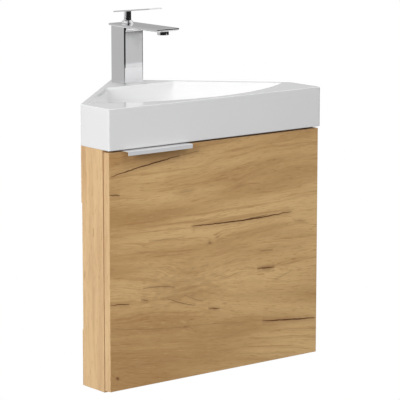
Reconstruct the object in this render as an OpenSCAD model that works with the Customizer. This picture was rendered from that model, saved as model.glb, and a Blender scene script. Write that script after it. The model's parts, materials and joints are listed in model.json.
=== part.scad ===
// Wall-hung corner washbasin unit: basin, single-lever tap, push-open waste and
// a one-door cabinet. Millimetres, +Z up. The origin is on the line where the two
// walls of the room meet, level with the underside of the cabinet. The walls are the
// planes y = x and y = -x behind the unit, and the door faces -Y.

/* [Basin] */
// Width across the front of the basin
basin_w = 480; // [400:1:620]
// Length of each short side, from the front face back to the wall
return_d = 84.5; // [60:0.5:140]
// Height of the basin
basin_h = 73; // [68:1:100]
// Thickness of the apron around the basin
apron_t = 11; // [8:1:16]
// Thickness of the bowl under its surface
shell_t = 9; // [6:0.5:12]
// Height of the bowl's underside above the cabinet
bowl_lift = 8; // [4:1:25]
// Width of the rim in the middle of the front
rim_front = 17.5; // [14:0.5:30]
// Width of the rim along each wall
rim_wall = 11; // [8:0.5:20]
// Radius of the bowl's curved front edge
front_arc_r = 375; // [300:5:600]
// Distance from the corner of the room to the back edge of the bowl
bowl_from_corner = 94; // [88:0.5:130]
// Thickness of the tap platform
platform_t = 14; // [10:1:18]

/* [Cabinet] */
// Height of the side panels
cabinet_h = 432; // [300:1:700]
// Thickness of the boards
board = 16; // [15:1:22]
// How far the basin overhangs the cabinet at each side
side_inset = 2; // [0:0.5:6]
// How far the basin overhangs the door in front
front_inset = 3.5; // [0:0.5:10]
// Height of the four rails along the walls
rail_h = 102; // [70:1:140]
// Width of the rails' ends that shows behind each side panel
rail_show = 2; // [1:0.5:6]
// How far the front stretcher stops short of the side panels' back edges
stretcher_gap = 8; // [0:1:30]
// Thickness of the edge bands
band_t = 0.8; // [0.4:0.1:2]

/* [Door] */
// Gap between the door and the basin
door_gap_top = 3.5; // [3:0.1:6]
// How far the door stops short of the bottom of the side panels
door_gap_bottom = 4; // [0:0.5:10]
// Gap between the door and the front edges of the cabinet
door_gap_back = 2; // [1.8:0.1:2.5]
// Chamfer on the door's back edge at the hinges
door_ease = 1; // [0.8:0.1:1.2]

/* [Handle] */
// Length of the edge pull
handle_l = 140; // [80:1:220]
// Distance from the door's left edge to the pull
handle_from_edge = 31; // [15:1:120]
// How far the pull stands out from the door
handle_out = 16; // [12:0.5:24]
// Height of its front lip
handle_lip = 8; // [6:0.5:14]
// Thickness of its metal
handle_t = 2; // [1.5:0.1:2.2]
// Height of its leg behind the door
handle_leg = 25; // [18:1:40]

/* [Hinges] */
// Diameter of the hinge cup
cup_d = 35; // [35:35]
// Depth of the hinge cup
cup_depth = 13; // [12.9:0.1:13.2]
// Wood left between the cup and the door's edge
cup_edge = 3; // [3:0.1:3.2]
// Diameter of the hinge pin
hinge_pin_d = 2.5; // [2.5:0.1:2.6]
// Distance from the hinge pin to the door's edge
pin_from_edge = 6.7; // [6.6:0.1:6.8]
// Distance from the hinge pin to the door's back face
pin_from_back = 10; // [9.8:0.1:10]
// Height of each hinge above or below the end of the door
hinge_from_end = 80; // [60:1:120]
// Length of the hinge arm behind the cabinet's front edge
arm_l = 47; // [46:1:56]

/* [Tap] */
// Width of the tap body
tap_w = 44; // [38:1:50]
// Depth of the tap body
tap_d = 40; // [36:1:44]
// How much farther the tap body reaches at the back than at the front
tap_back = 2; // [0:0.5:3]
// Height of the tap body, to the top of the spout
tap_h = 110.5; // [90:0.5:160]
// Distance from the corner of the room to the centre of the tap
tap_from_corner = 53.5; // [50:0.5:60]
// Length of the spout plate, from back to tip
spout_l = 149.8; // [110:0.1:180]
// How far the spout plate stands out beyond the body, at the sides and the back
spout_over = 3; // [1:0.5:6]
// Thickness of the spout plate
spout_t = 5.5; // [4.5:0.5:10]
// Height of the spout plate's upright edge
spout_edge = 3.5; // [1:0.5:4]
// Radius of the rounded front edges of the tap body
tap_edge_r = 3; // [1:0.5:4]
// Radius of the rounded back edges of the tap body
tap_back_r = 1; // [0.5:0.5:4]
// Diameter of the lever's stem
stem_d = 14; // [12:0.5:16]
// Diameter of the collar at its foot
collar_d = 25; // [24:0.5:28]
// Height of the collar above the spout plate
collar_h = 6; // [5:0.5:9]
// Height of the lever plate's underside above the collar, at the stem
stem_h = 16.3; // [12:0.1:24]
// Length of the lever plate
lever_l = 111.5; // [80:0.5:130]
// Width of the lever plate
lever_w = 30; // [20:1:36]
// Thickness of the lever plate
lever_t = 2.5; // [2:0.5:4]
// Overhang of the lever plate behind the stem's centre
lever_back = 24; // [18:1:26]
// Rise of the lever plate towards its tip, in degrees
lever_rise = 6.6; // [0:0.1:10]
// Diameter of the aerator
aerator_d = 21; // [18:0.5:24]
// Height of the aerator below the spout
aerator_h = 7; // [5:0.5:12]
// Distance from the spout's tip to the aerator's centre
aerator_from_tip = 15.5; // [13:0.5:25]

/* [Waste] */
// Diameter of the waste's cap
plug_d = 63; // [58:1:66]
// Travel of the cap from shut to open
plug_travel = 9; // [6:0.5:11]
// Diameter of the threaded tail
tail_d = 41.9; // [41.9:41.9]
// Length of the tail below the bowl's surface
tail_l = 82; // [68:1:98]
// Diameter of the waste's flange
flange_d = 64; // [60:1:70]

/* [Clearances] */
// Running clearance of hinge pins and stems, on the radius
run_clear = 0.05; // [0.02:0.01:0.08]
// Clearance of loose inner pieces, on the radius
loose_clear = 0.2; // [0.1:0.05:0.4]

/* [Hidden] */
$fn = 64;
eps = 0.01;
diag = sqrt(2);

front_y = -(basin_w / 2 + return_d);
rim_z = cabinet_h + basin_h;
cab_w = basin_w - 2 * side_inset;
inner_x = cab_w / 2 - board;
door_y = front_y + front_inset;
door_back_y = door_y + board;
panel_y = door_back_y + door_gap_back;
panel_back_y = -(cab_w / 2) - rail_show;
door_z = door_gap_bottom;
door_top = cabinet_h - door_gap_top;
rail_in = board * diag;

bowl_front_y = front_y + rim_front;
bowl_back_y = -bowl_from_corner;
bowl_depth = basin_h - shell_t - bowl_lift;

cup_x = cab_w / 2 - cup_edge - cup_d / 2;
pin_x = cab_w / 2 - pin_from_edge;
pin_y = door_back_y - pin_from_back;
pin_l = 17;
cup_floor = 0.8;
cup_wall = 1;
hinge_zs = [door_top - hinge_from_end, door_z + hinge_from_end];
arm_nose_w = 7;
arm_t = 2.5;
arm_w = 14;
arm_x = inner_x - 4;
arm_screw_from_front = 42;
eye_r = hinge_pin_d / 2 + 0.75;
mount_w = 48;
mount_l = 20;
mount_t = 3;
mount_hole_from_front = 37;
system_pitch = 32;

tap_y = -tap_from_corner;
tap_front = tap_y - tap_d / 2;
top_z = rim_z + tap_h;
spout_w = tap_w + 2 * spout_over;
spout_back = tap_y + tap_d / 2 + tap_back + spout_over;
spout_tip = spout_back - spout_l;
spout_z = top_z - spout_t;
aerator_y = spout_tip + aerator_from_tip;
aerator_neck_r = aerator_d / 2 - 3.5;
pivot_z = top_z + collar_h;
chamber_r = 11;
spindle_r = 3;
guide_z = top_z - 11.5;
guide_t = 3.7;
cartridge_z = guide_z - 48;
lever_swing = 10;
tap_seal_w = 2;
tap_hole_r = min(tap_w, tap_d) / 2 - tap_seal_w - 0.5;
clamp_r = tap_hole_r + 5.5;
stud_r = 4;
stud_y = tap_y + 10;
riser_r = min(2.6, (tap_d / 2 - chamber_r) / 2 - 1);
riser_y = tap_y - (tap_d / 2 + chamber_r) / 2;
inlet_r = 4.5;
inlet_l = 14;
inlet_x = 7.5;
inlet_y = tap_y - 3;
socket_w = 14;
socket_d = 13;
clamp_t = 3;

waste_y = (bowl_front_y + bowl_back_y) / 2;
floor_z = rim_z - bowl_depth;
bowl_under_z = floor_z - shell_t;
flange_r = flange_d / 2;
flange_t = 2.5;
seal_t = 1.5;
tail_r = tail_d / 2;
tail_wall = 3.5;
trap_l = 38;
relief = 0.6;
bore_r = tail_r - tail_wall;
waste_hole_r = tail_r + 1.55;
nut_r = tail_r + 9;
nut_room = 4;
stretcher_back_y = min(panel_back_y - stretcher_gap, waste_y - nut_r - nut_room);
flange_z = floor_z + seal_t;
tail_z = floor_z - tail_l;
spider_z = floor_z - 26;
click_r = 8;
click_h = plug_travel + 5;
plug_stem_r = 4;
plug_t = 4;
plug_z = flange_z + flange_t + 1.6;

handle_x = -cab_w / 2 + handle_from_edge;
handle_screw_xs = [handle_x + 20, handle_x + handle_l - 20];

dowel_r = 4;
dowel_l = 30;
cam_r = 7.5;
cam_depth = 12.5;
cam_from_end = 34;
screw_r = 2;
screw_head_r = 4;
rail_screw_l = 50;
wall_hole_r = 3.25;
wall_hole_ts = [70, cab_w / 2 - 33];
low_hole_t = 150;
rail_zs = [cabinet_h - rail_h, 0];

// ---------------------------------------------------------------- helpers

// Cylinder along +Y from p
module rod_y(p, r, l) {
    translate(p) rotate([-90, 0, 0]) cylinder(r = r, h = l);
}

// Cylinder along +X from p
module rod_x(p, r, l) {
    translate(p) rotate([0, 90, 0]) cylinder(r = r, h = l);
}

// Box from its low corner to its high corner
module block(a, b) {
    translate(a) cube(b - a);
}

// Upright ring
module ring(z, r_out, r_in, h) {
    translate([0, 0, z])
        difference() {
            cylinder(r = r_out, h = h);
            translate([0, 0, -1]) cylinder(r = r_in, h = h + 2);
        }
}

// Plan of the whole unit, drawn in by d at the front and sides and by w at the walls
module plan(d, w) {
    x = basin_w / 2 - d;
    k = w * diag;
    polygon([[-x, front_y + d], [x, front_y + d], [x, -x - k], [0, -k], [-x, -x - k]]);
}

// Plan of the bowl at the rim: curved front, sides along the walls, straight back
module bowl_plan() {
    k = rim_wall * diag;
    arc_y = bowl_front_y + front_arc_r;
    intersection() {
        translate([0, arc_y]) circle(r = front_arc_r, $fn = 160);
        polygon([[-basin_w, -basin_w - k], [bowl_back_y + k, bowl_back_y],
                 [-bowl_back_y - k, bowl_back_y], [basin_w, -basin_w - k],
                 [basin_w, front_y], [-basin_w, front_y]]);
    }
}

// Thin slice of the bowl, drawn in by inset with corners of radius r
module bowl_slice(z, inset, r) {
    translate([0, 0, z])
        linear_extrude(eps)
            offset(r = r, $fn = 32) offset(delta = -inset - r) bowl_plan();
}

// Space of the bowl, grown outwards by g for the shell around it
module bowl_space(g) {
    hull() {
        bowl_slice(rim_z + (g > 0 ? 0 : 1), 0 - g, 4 + g);
        bowl_slice(rim_z - 0.6 * bowl_depth, 10 - g, 22 + g);
        bowl_slice(floor_z + 6 - g, 20 - g, 30 + g);
        translate([0, waste_y, floor_z - g]) cylinder(r = flange_r + 4 + g, h = eps, $fn = 32);
    }
}

// ---------------------------------------------------------------- basin

module basin() {
    color("white")
    difference() {
        translate([0, 0, cabinet_h]) linear_extrude(basin_h) plan(0, 0);
        difference() {
            translate([0, 0, cabinet_h - 1])
                linear_extrude(basin_h - platform_t + 1) plan(apron_t, apron_t);
            bowl_space(shell_t);
            translate([0, waste_y, cabinet_h]) cylinder(r = flange_r + 4, h = basin_h);
        }
        bowl_space(0);
        translate([0, tap_y, cabinet_h]) cylinder(r = tap_hole_r, h = basin_h + 1);
        translate([0, waste_y, cabinet_h - 1]) cylinder(r = waste_hole_r, h = basin_h);
        translate([0, waste_y, cabinet_h - 1])
            cylinder(r = flange_r + 5, h = bowl_under_z - cabinet_h + 1);
    }
}

// ---------------------------------------------------------------- tap

// Rounded rectangle of the tap body
module tap_plan() {
    back = tap_d / 2 + tap_back;
    difference() {
        translate([-tap_w / 2, -tap_d / 2]) square([tap_w, tap_d + tap_back]);
        for (x = [-1, 1]) {
            tap_plan_corner(x * tap_w / 2, -tap_d / 2, -x, 1, tap_edge_r);
            tap_plan_corner(x * tap_w / 2, back, -x, -1, tap_back_r);
        }
    }
}

// What a rounded edge takes off a corner; dx and dy point into the body
module tap_plan_corner(x, y, dx, dy, r) {
    difference() {
        translate([x + (dx > 0 ? -1 : -r), y + (dy > 0 ? -1 : -r)]) square([r + 1, r + 1]);
        translate([x + dx * r, y + dy * r]) circle(r = r, $fn = 32);
    }
}

// Spout plate: upright edges on top and slanted edges below
module spout_plate() {
    slant = spout_over;
    intersection() {
        translate([0, spout_back + 1, 0]) rotate([90, 0, 0])
            linear_extrude(spout_l + 2)
                polygon([[-spout_w / 2 + slant, spout_z], [spout_w / 2 - slant, spout_z],
                         [spout_w / 2, top_z - spout_edge], [spout_w / 2, top_z],
                         [-spout_w / 2, top_z], [-spout_w / 2, top_z - spout_edge]]);
        translate([-spout_w / 2 - 1, 0, 0]) rotate([90, 0, 90])
            linear_extrude(spout_w + 2)
                polygon([[spout_tip + slant, spout_z], [spout_back - slant, spout_z],
                         [spout_back, top_z - spout_edge], [spout_back, top_z],
                         [spout_tip, top_z], [spout_tip, top_z - spout_edge]]);
    }
}

// Way up for the water, between the cartridge and the front of the column
module tap_riser() {
    translate([0, riser_y, guide_z - 32]) cylinder(r = riser_r, h = spout_z + 2 - guide_z + 32);
}

// Fillet where the spout meets the front of the body
module spout_cove() {
    r = 8;
    w = tap_w - 2 * tap_edge_r;
    difference() {
        block([-w / 2, tap_front - r, spout_z - r], [w / 2, tap_front, spout_z + 1]);
        rod_x([-w, tap_front - r, spout_z - r], r, 2 * w);
    }
}

// Square block around one inlet, standing low beyond its foot
module inlet_block(side, low) {
    translate([side * inlet_x, inlet_y, rim_z + (inlet_l - low) / 2])
        cube([socket_w, socket_d, inlet_l + low], center = true);
}

// Threaded sockets for the two hoses, brazed in the foot of the column
module inlet_sockets() {
    color("goldenrod")
    for (x = [-1, 1])
        difference() {
            inlet_block(x, 0);
            translate([x * inlet_x, inlet_y, rim_z - 1]) cylinder(r = inlet_r, h = inlet_l + 2);
        }
}

// Column of the tap
module tap_body() {
    color("silver")
    difference() {
        translate([0, tap_y, rim_z]) linear_extrude(tap_h - spout_t) tap_plan();
        translate([0, tap_y, cartridge_z]) cylinder(r = chamber_r, h = tap_h);
        tap_riser();
        rod_y([0, riser_y, guide_z - 28], riser_r - 0.4, chamber_r);
        translate([0, stud_y, rim_z - 1]) cylinder(r = stud_r, h = 21);
        for (x = [-1, 1]) {
            inlet_block(x, 1);
            translate([x * inlet_x, inlet_y, rim_z]) cylinder(r = inlet_r + 0.5, h = cartridge_z - rim_z + eps);
        }
        translate([0, tap_y, rim_z - 1])
            difference() {
                cylinder(r = tap_hole_r + tap_seal_w, h = 2.2);
                translate([0, 0, -1]) cylinder(r = tap_hole_r, h = 5);
            }
    }
}

// Flat spout, brazed on the column
module tap_spout() {
    color("silver")
    difference() {
        union() {
            spout_plate();
            spout_cove();
        }
        translate([0, tap_y, cartridge_z]) cylinder(r = chamber_r, h = tap_h);
        translate([0, 0, spout_z + 1.2])
            block([-9, aerator_y - 5, 0], [9, riser_y + riser_r, 2.4]);
        tap_riser();
        translate([0, aerator_y, spout_z - 1]) cylinder(r = aerator_neck_r, h = 3.4);
    }
}

module tap_collar() {
    seat_r = stem_d / 2 + 0.3;
    color("silver")
    translate([0, tap_y, 0])
    difference() {
        rotate_extrude()
            polygon([[0, top_z - 7.5], [chamber_r, top_z - 7.5], [chamber_r, top_z],
                     [collar_d / 2, top_z], [collar_d / 2, top_z + 0.6],
                     [seat_r + 0.9, pivot_z], [0, pivot_z]]);
        translate([0, 0, pivot_z]) sphere(r = seat_r);
        translate([0, 0, top_z - 8]) cylinder(r = spindle_r + 2.9, h = 12);
    }
}

module tap_cartridge() {
    color("ivory")
    translate([0, tap_y, 0])
    difference() {
        union() {
            translate([0, 0, cartridge_z])
                cylinder(r = chamber_r - loose_clear, h = guide_z - cartridge_z);
        }
        translate([0, 0, guide_z - 10]) cylinder(r = spindle_r + 4.5, h = 11);
        for (x = [-1, 1])
            translate([x * inlet_x * 0.8, inlet_y - tap_y, cartridge_z - 1])
                cylinder(r = 2.2, h = 20);
    }
}

module stem_guide() {
    slot = spindle_r + 3.2;
    color("dimgray")
    translate([0, tap_y, guide_z])
    difference() {
        cylinder(r = chamber_r - loose_clear, h = guide_t);
        translate([0, 0, -1])
            linear_extrude(guide_t + 2)
                square([2 * spindle_r + 0.4, 2 * slot], center = true);
    }
}

// Lever: ball, stem and plate in one casting, drawn about the pivot
module lever() {
    plate_z = stem_h;
    color("silver")
    translate([0, tap_y, pivot_z])
    difference() {
        union() {
            intersection() {
                sphere(r = stem_d / 2);
                translate([0, 0, -stem_d]) cylinder(r = stem_d, h = stem_d + eps);
            }
            intersection() {
                cylinder(r = stem_d / 2, h = plate_z + 20);
                translate([0, 0, plate_z]) rotate([-lever_rise, 0, 0])
                    block([-stem_d, -stem_d, -plate_z - 10], [stem_d, stem_d, 0.5]);
            }
            translate([0, 0, plate_z]) rotate([-lever_rise, 0, 0])
                block([-lever_w / 2, lever_back - lever_l, 0], [lever_w / 2, lever_back, lever_t]);
        }
        translate([0, 0, -stem_d]) cylinder(r = spindle_r, h = stem_d + 8);
        rod_y([0, 0, 4], 1.5, stem_d);
    }
}

module lever_spindle() {
    color("darkgoldenrod")
    translate([0, tap_y, pivot_z - 21.5]) cylinder(r = spindle_r, h = 29.5);
}

module lever_grub_screw() {
    color("dimgray")
    translate([0, tap_y, pivot_z])
    difference() {
        rod_y([0, spindle_r, 4], 1.5, 3.5);
        rod_y([0, spindle_r + 2, 4], 0.8, 3);
    }
}

module aerator_shell() {
    color("silver")
    translate([0, aerator_y, 0])
    difference() {
        union() {
            translate([0, 0, spout_z - aerator_h]) cylinder(r = aerator_d / 2, h = aerator_h);
            translate([0, 0, spout_z]) cylinder(r = aerator_neck_r, h = 1.2);
        }
        translate([0, 0, spout_z - aerator_h - 1]) cylinder(r = aerator_neck_r + 1.5, h = aerator_h);
        translate([0, 0, spout_z - aerator_h]) cylinder(r = aerator_neck_r - 1.5, h = aerator_h + 2);
    }
}

module aerator_insert() {
    r = aerator_d / 2 - 2;
    pitch = 2.6;
    color("lightgray")
    translate([0, aerator_y, spout_z - aerator_h + 0.8])
    difference() {
        cylinder(r = r, h = aerator_h - 2.8);
        for (i = [-2:2], j = [-2:2])
            if (norm([i, j]) * pitch < r - 2)
                translate([i * pitch, j * pitch, -1]) cylinder(r = 0.9, h = 3, $fn = 16);
    }
}

module aerator_seal() {
    r = aerator_d / 2 - 2;
    color("black")
    translate([0, aerator_y, 0]) ring(spout_z - 2, r, r - 2.5, 1);
}

module tap_base_seal() {
    color("black")
    translate([0, tap_y, 0]) ring(rim_z, tap_hole_r + tap_seal_w, tap_hole_r, 1.2);
}

module tap_stud() {
    color("gainsboro")
    translate([0, stud_y, rim_z - platform_t - 42]) cylinder(r = stud_r, h = platform_t + 62);
}

// Horseshoe that clears the inlets and goes round the stud
module horseshoe(z, r, t, c) {
    color(c)
    translate([0, tap_y, z])
    difference() {
        cylinder(r = r, h = t);
        translate([0, stud_y - tap_y, -1]) cylinder(r = stud_r, h = t + 2);
        translate([0, 0, -1])
            linear_extrude(t + 2) {
                translate([-13, -r - 1]) square([26, r + 3]);
            }
    }
}

module tap_clamp_rubber() {
    horseshoe(rim_z - platform_t - clamp_t, clamp_r, clamp_t, "black");
}

module tap_clamp_plate() {
    horseshoe(rim_z - platform_t - 2 * clamp_t, clamp_r, clamp_t, "gainsboro");
}

module tap_clamp_nut() {
    color("goldenrod")
    translate([0, stud_y, rim_z - platform_t - 2 * clamp_t - 8])
    difference() {
        cylinder(r = 7.5, h = 8, $fn = 6);
        translate([0, 0, -1]) cylinder(r = stud_r, h = 10);
    }
}

// ---------------------------------------------------------------- waste

module waste_body() {
    color("silver")
    translate([0, waste_y, 0])
    difference() {
        union() {
            translate([0, 0, flange_z]) cylinder(r = flange_r, h = flange_t);
            difference() {
                translate([0, 0, tail_z]) cylinder(r = tail_r, h = tail_l + seal_t + eps);
                ring(tail_z + trap_l, tail_r + 1, tail_r - relief, 2.5);
            }
        }
        difference() {
            translate([0, 0, tail_z - 1]) cylinder(r = bore_r, h = tail_l + 10);
            translate([0, 0, spider_z]) cylinder(r = click_r + 3, h = click_h);
            for (a = [0, 60, 120])
                translate([0, 0, spider_z + click_h / 2]) rotate(a)
                    cube([2 * tail_r, 3, click_h], center = true);
        }
        translate([0, 0, spider_z - 1]) cylinder(r = click_r, h = click_h + 2);
        translate([0, 0, flange_z + flange_t - 1.5]) cylinder(r1 = bore_r, r2 = bore_r + 3, h = 3);
    }
}

module waste_seal_upper() {
    color("dimgray")
    translate([0, waste_y, 0]) ring(floor_z, flange_r - 2, tail_r, seal_t);
}

module waste_seal_lower() {
    color("black")
    translate([0, waste_y, 0]) ring(bowl_under_z - 5, flange_r - 2, tail_r, 5);
}

module waste_nut() {
    color("silver")
    translate([0, waste_y, bowl_under_z - 15])
    difference() {
        cylinder(r = nut_r, h = 10, $fn = 8);
        translate([0, 0, -1]) cylinder(r = tail_r, h = 12);
    }
}

module click_housing() {
    color("ivory")
    translate([0, waste_y, 0])
    difference() {
        translate([0, 0, spider_z]) cylinder(r = click_r, h = click_h);
        translate([0, 0, spider_z + 2]) cylinder(r = plug_stem_r + run_clear, h = click_h);
    }
}

module waste_plug() {
    color("silver")
    translate([0, waste_y, 0])
    difference() {
        union() {
            translate([0, 0, plug_z]) cylinder(r = plug_d / 2, h = plug_t);
            translate([0, 0, spider_z + 2 + 0.3])
                cylinder(r = plug_stem_r, h = plug_z - spider_z - 2);
            translate([0, 0, plug_z - 6]) cylinder(r = bore_r - 4, h = 6);
        }
        translate([0, 0, plug_z - 3.5])
            difference() {
                cylinder(r = tail_r, h = 2.5);
                translate([0, 0, -1]) cylinder(r = bore_r - 6, h = 5);
            }
    }
}

module plug_seal() {
    color("black")
    translate([0, waste_y, 0])
        ring(plug_z - 3.5, bore_r - 0.1, bore_r - 6, 2.5);
}

// ---------------------------------------------------------------- cabinet

// Screw along +Y from p, its head first
module wood_screw_y(p, l) {
    rod_y(p, screw_head_r, 3);
    rod_y(p + [0, 2.9, 0], screw_r, l - 2.9);
}

// Places of the screws that hold the rails on the side panels: [x, z]
rail_screw_xz = [for (s = [-1, 1], z0 = rail_zs, dz = [20, rail_h - 20])
    [s * (cab_w / 2 - 9), z0 + dz]];
// Heights of the screws through the rails' corner joint
corner_screw_z = [for (z0 = rail_zs, dz = [20, rail_h - 20]) z0 + dz];
rail_head_y = -(cab_w / 2) + 4;

// Screws through the rails into the back edges of the side panels
module side_rail_screws() {
    for (p = rail_screw_xz)
        translate([p[0], rail_head_y, p[1]]) rotate([90, 0, 0]) {
            cylinder(r = screw_head_r, h = 3);
            cylinder(r = screw_r, h = rail_screw_l);
        }
}

// Screws through the left rails into the ends of the right rails
module corner_screws() {
    for (z = corner_screw_z)
        rotate([0, 0, -45]) rod_x([0.5, -board / 2, z], screw_head_r, 3);
    for (z = corner_screw_z)
        rotate([0, 0, -45]) rod_x([0.5, -board / 2, z], screw_r, rail_screw_l);
}

// Ways in for the screws' heads, from behind the rails
module rail_screw_mouths() {
    for (p = rail_screw_xz)
        rod_y([p[0], rail_head_y - eps, p[1]], screw_head_r, 20);
    for (z = corner_screw_z)
        rotate([0, 0, -45]) rod_x([-20, -board / 2, z], screw_head_r, 20.5 + eps);
}

// Left rail in plan: from the left side panel to past the corner
module rail_plan_left() {
    x = cab_w / 2;
    polygon([[-x, -x], [-x, panel_back_y], [panel_back_y + rail_in, panel_back_y],
             [board / diag, -board / diag], [0, 0]]);
}

// Right rail in plan: it butts against the left rail
module rail_plan_right() {
    x = cab_w / 2;
    polygon([[x, -x], [x, panel_back_y], [-panel_back_y - rail_in, panel_back_y],
             [0, -rail_in], [board / diag, -board / diag]]);
}

// Holes for the wall screws, square to the wall; s is -1 on the left, t along the wall
module wall_hole(s, t, z) {
    translate([s * t / diag, -t / diag, z]) rotate([0, 0, s * -45]) rod_y([0, -60, 0], wall_hole_r, 90);
}

module rail(s, z0) {
    color("burlywood")
    difference() {
        translate([0, 0, z0]) linear_extrude(rail_h) {
            if (s < 0) rail_plan_left();
            else rail_plan_right();
        }
        side_rail_screws();
        corner_screws();
        rail_screw_mouths();
        if (z0 > 0)
            for (t = wall_hole_ts) wall_hole(s, t, z0 + rail_h / 2);
        else
            wall_hole(s, low_hole_t, z0 + rail_h / 2);
    }
}

module rail_top_left() { rail(-1, rail_zs[0]); }
module rail_top_right() { rail(1, rail_zs[0]); }
module rail_bottom_left() { rail(-1, rail_zs[1]); }
module rail_bottom_right() { rail(1, rail_zs[1]); }

module rail_screws() {
    color("gray") {
        side_rail_screws();
        corner_screws();
    }
}

// Depths of the dowels and of the cam fittings from the panels' front edge
dowel_ys = [panel_y + 14, panel_y + 46];
cam_y = panel_y + 30;
shelf_mid_zs = [board / 2, cabinet_h - board / 2];

module dowels() {
    color("tan")
    for (s = [-1, 1], y = dowel_ys, z = shelf_mid_zs)
        rod_x([s * inner_x - dowel_l / 2 - s * 4, y, z], dowel_r, dowel_l);
}

// Bolt of each cam fitting: screwed in the side panel, its neck in the cam
module cam_bolts() {
    color("silver")
    for (s = [-1, 1], z = shelf_mid_zs) {
        if (s < 0) rod_x([-inner_x - 11, cam_y, z], 2.5, cam_from_end + 11 - 3);
        else rod_x([inner_x - cam_from_end + 3, cam_y, z], 2.5, cam_from_end + 11 - 3);
    }
}

module cam_bolt_ways() {
    for (s = [-1, 1], z = shelf_mid_zs)
        rod_x([s * (inner_x - cam_from_end / 2) - cam_from_end / 2, cam_y, z], 4, cam_from_end);
}

module cam_sinks() {
    for (s = [-1, 1]) {
        translate([s * (inner_x - cam_from_end), cam_y, board - cam_depth])
            cylinder(r = cam_r, h = cam_depth + 1);
        translate([s * (inner_x - cam_from_end), cam_y, cabinet_h - board - 1])
            cylinder(r = cam_r, h = cam_depth + 1);
    }
}

module cam(flip) {
    rotate([flip ? 180 : 0, 0, 0])
    difference() {
        translate([0, 0, -board / 2 + board - cam_depth]) cylinder(r = cam_r, h = cam_depth);
        rod_x([-cam_r - 1, 0, 0], 4, 2 * cam_r + 2);
        translate([0, 0, board / 2 - 1]) cube([9, 1.5, 4], center = true);
        translate([0, 0, board / 2 - 1]) cube([1.5, 9, 4], center = true);
    }
}

module cam_housings() {
    color("silver")
    for (s = [-1, 1]) {
        translate([s * (inner_x - cam_from_end), cam_y, shelf_mid_zs[0]]) cam(false);
        translate([s * (inner_x - cam_from_end), cam_y, shelf_mid_zs[1]]) cam(true);
    }
}

// Side panel; s is -1 on the left
module side(s) {
    x0 = min(s * inner_x, s * cab_w / 2);
    color("burlywood")
    difference() {
        block([x0, panel_y + band_t, 0], [x0 + board, panel_back_y, cabinet_h]);
        dowels();
        cam_bolts();
        side_rail_screws();
        if (s > 0) hinge_plate_screws();
    }
}

module side_left() { side(-1); }
module side_right() { side(1); }

module bottom_panel() {
    k = -panel_back_y - rail_in;
    color("burlywood")
    difference() {
        linear_extrude(board)
            polygon([[-inner_x, panel_y + band_t], [inner_x, panel_y + band_t], [inner_x, panel_back_y],
                     [k, panel_back_y], [0, -rail_in], [-k, panel_back_y], [-inner_x, panel_back_y]]);
        dowels();
        cam_bolt_ways();
        cam_sinks();
    }
}

module front_stretcher() {
    color("burlywood")
    difference() {
        block([-inner_x, panel_y + band_t, cabinet_h - board],
              [inner_x, stretcher_back_y, cabinet_h]);
        dowels();
        cam_bolt_ways();
        cam_sinks();
    }
}

module carcass_edge_bands() {
    color("tan") {
        for (s = [-1, 1]) {
            x0 = min(s * inner_x, s * cab_w / 2);
            block([x0, panel_y, 0], [x0 + board, panel_y + band_t, cabinet_h]);
        }
        for (z = [0, cabinet_h - board])
            block([-inner_x, panel_y, z], [inner_x, panel_y + band_t, z + board]);
    }
}

// ---------------------------------------------------------------- door

// Chamfer along the door's back edge at the hinges
module door_chamfer() {
    x = cab_w / 2;
    translate([0, 0, door_z - 1])
        linear_extrude(door_top - door_z + 2)
            polygon([[x - door_ease, door_back_y + eps], [x + eps, door_back_y + eps],
                     [x + eps, door_back_y - door_ease]]);
}

module door() {
    color("burlywood")
    difference() {
        block([-cab_w / 2 + band_t, door_y, door_z + band_t],
              [cab_w / 2 - band_t, door_back_y, door_top - band_t]);
        door_chamfer();
        for (z = hinge_zs)
            rod_y([cup_x, door_back_y - cup_depth, z], cup_d / 2, cup_depth + 1);
        block([handle_x, door_back_y - handle_t, door_top - handle_leg],
              [handle_x + handle_l, door_back_y + 1, door_top + 1]);
        handle_screws();
        hinge_cup_screws();
    }
}

module door_edge_bands() {
    x = cab_w / 2;
    color("tan")
    difference() {
        union() {
            block([-x, door_y, door_z], [-x + band_t, door_back_y, door_top]);
            block([x - band_t, door_y, door_z], [x, door_back_y, door_top]);
            block([-x + band_t, door_y, door_z], [x - band_t, door_back_y, door_z + band_t]);
            block([-x + band_t, door_y, door_top - band_t], [x - band_t, door_back_y, door_top]);
        }
        door_chamfer();
        block([handle_x, door_back_y - handle_t, door_top - handle_leg],
              [handle_x + handle_l, door_back_y + 1, door_top + 1]);
    }
}

// Edge pull: over the door's top edge, with a leg behind and a lip in front
module handle() {
    f = door_y - handle_out;
    t = handle_t;
    color("silver")
    difference() {
        translate([handle_x, 0, 0]) rotate([90, 0, 90])
            linear_extrude(handle_l)
                polygon([[door_back_y, door_top - handle_leg], [door_back_y, door_top + t],
                         [f + 1, door_top + t], [f, door_top + t - 1],
                         [f, door_top + t - handle_lip], [f + t, door_top + t - handle_lip],
                         [f + t, door_top], [door_back_y - t, door_top],
                         [door_back_y - t, door_top - handle_leg]]);
        handle_screws();
    }
}

module handle_screws() {
    color("gray")
    for (x = handle_screw_xs)
        translate([x, door_back_y, door_top - handle_leg / 2]) rotate([90, 0, 0]) {
            cylinder(r1 = 3, r2 = 1.5, h = 1.5);
            cylinder(r = 1.5, h = 13);
        }
}

module door_bumpers() {
    color("white")
    for (z = [door_z + 25, door_top - 40])
        rod_y([-cab_w / 2 + board / 2, door_back_y, z], 4, door_gap_back - loose_clear);
}

// ---------------------------------------------------------------- hinges

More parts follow.
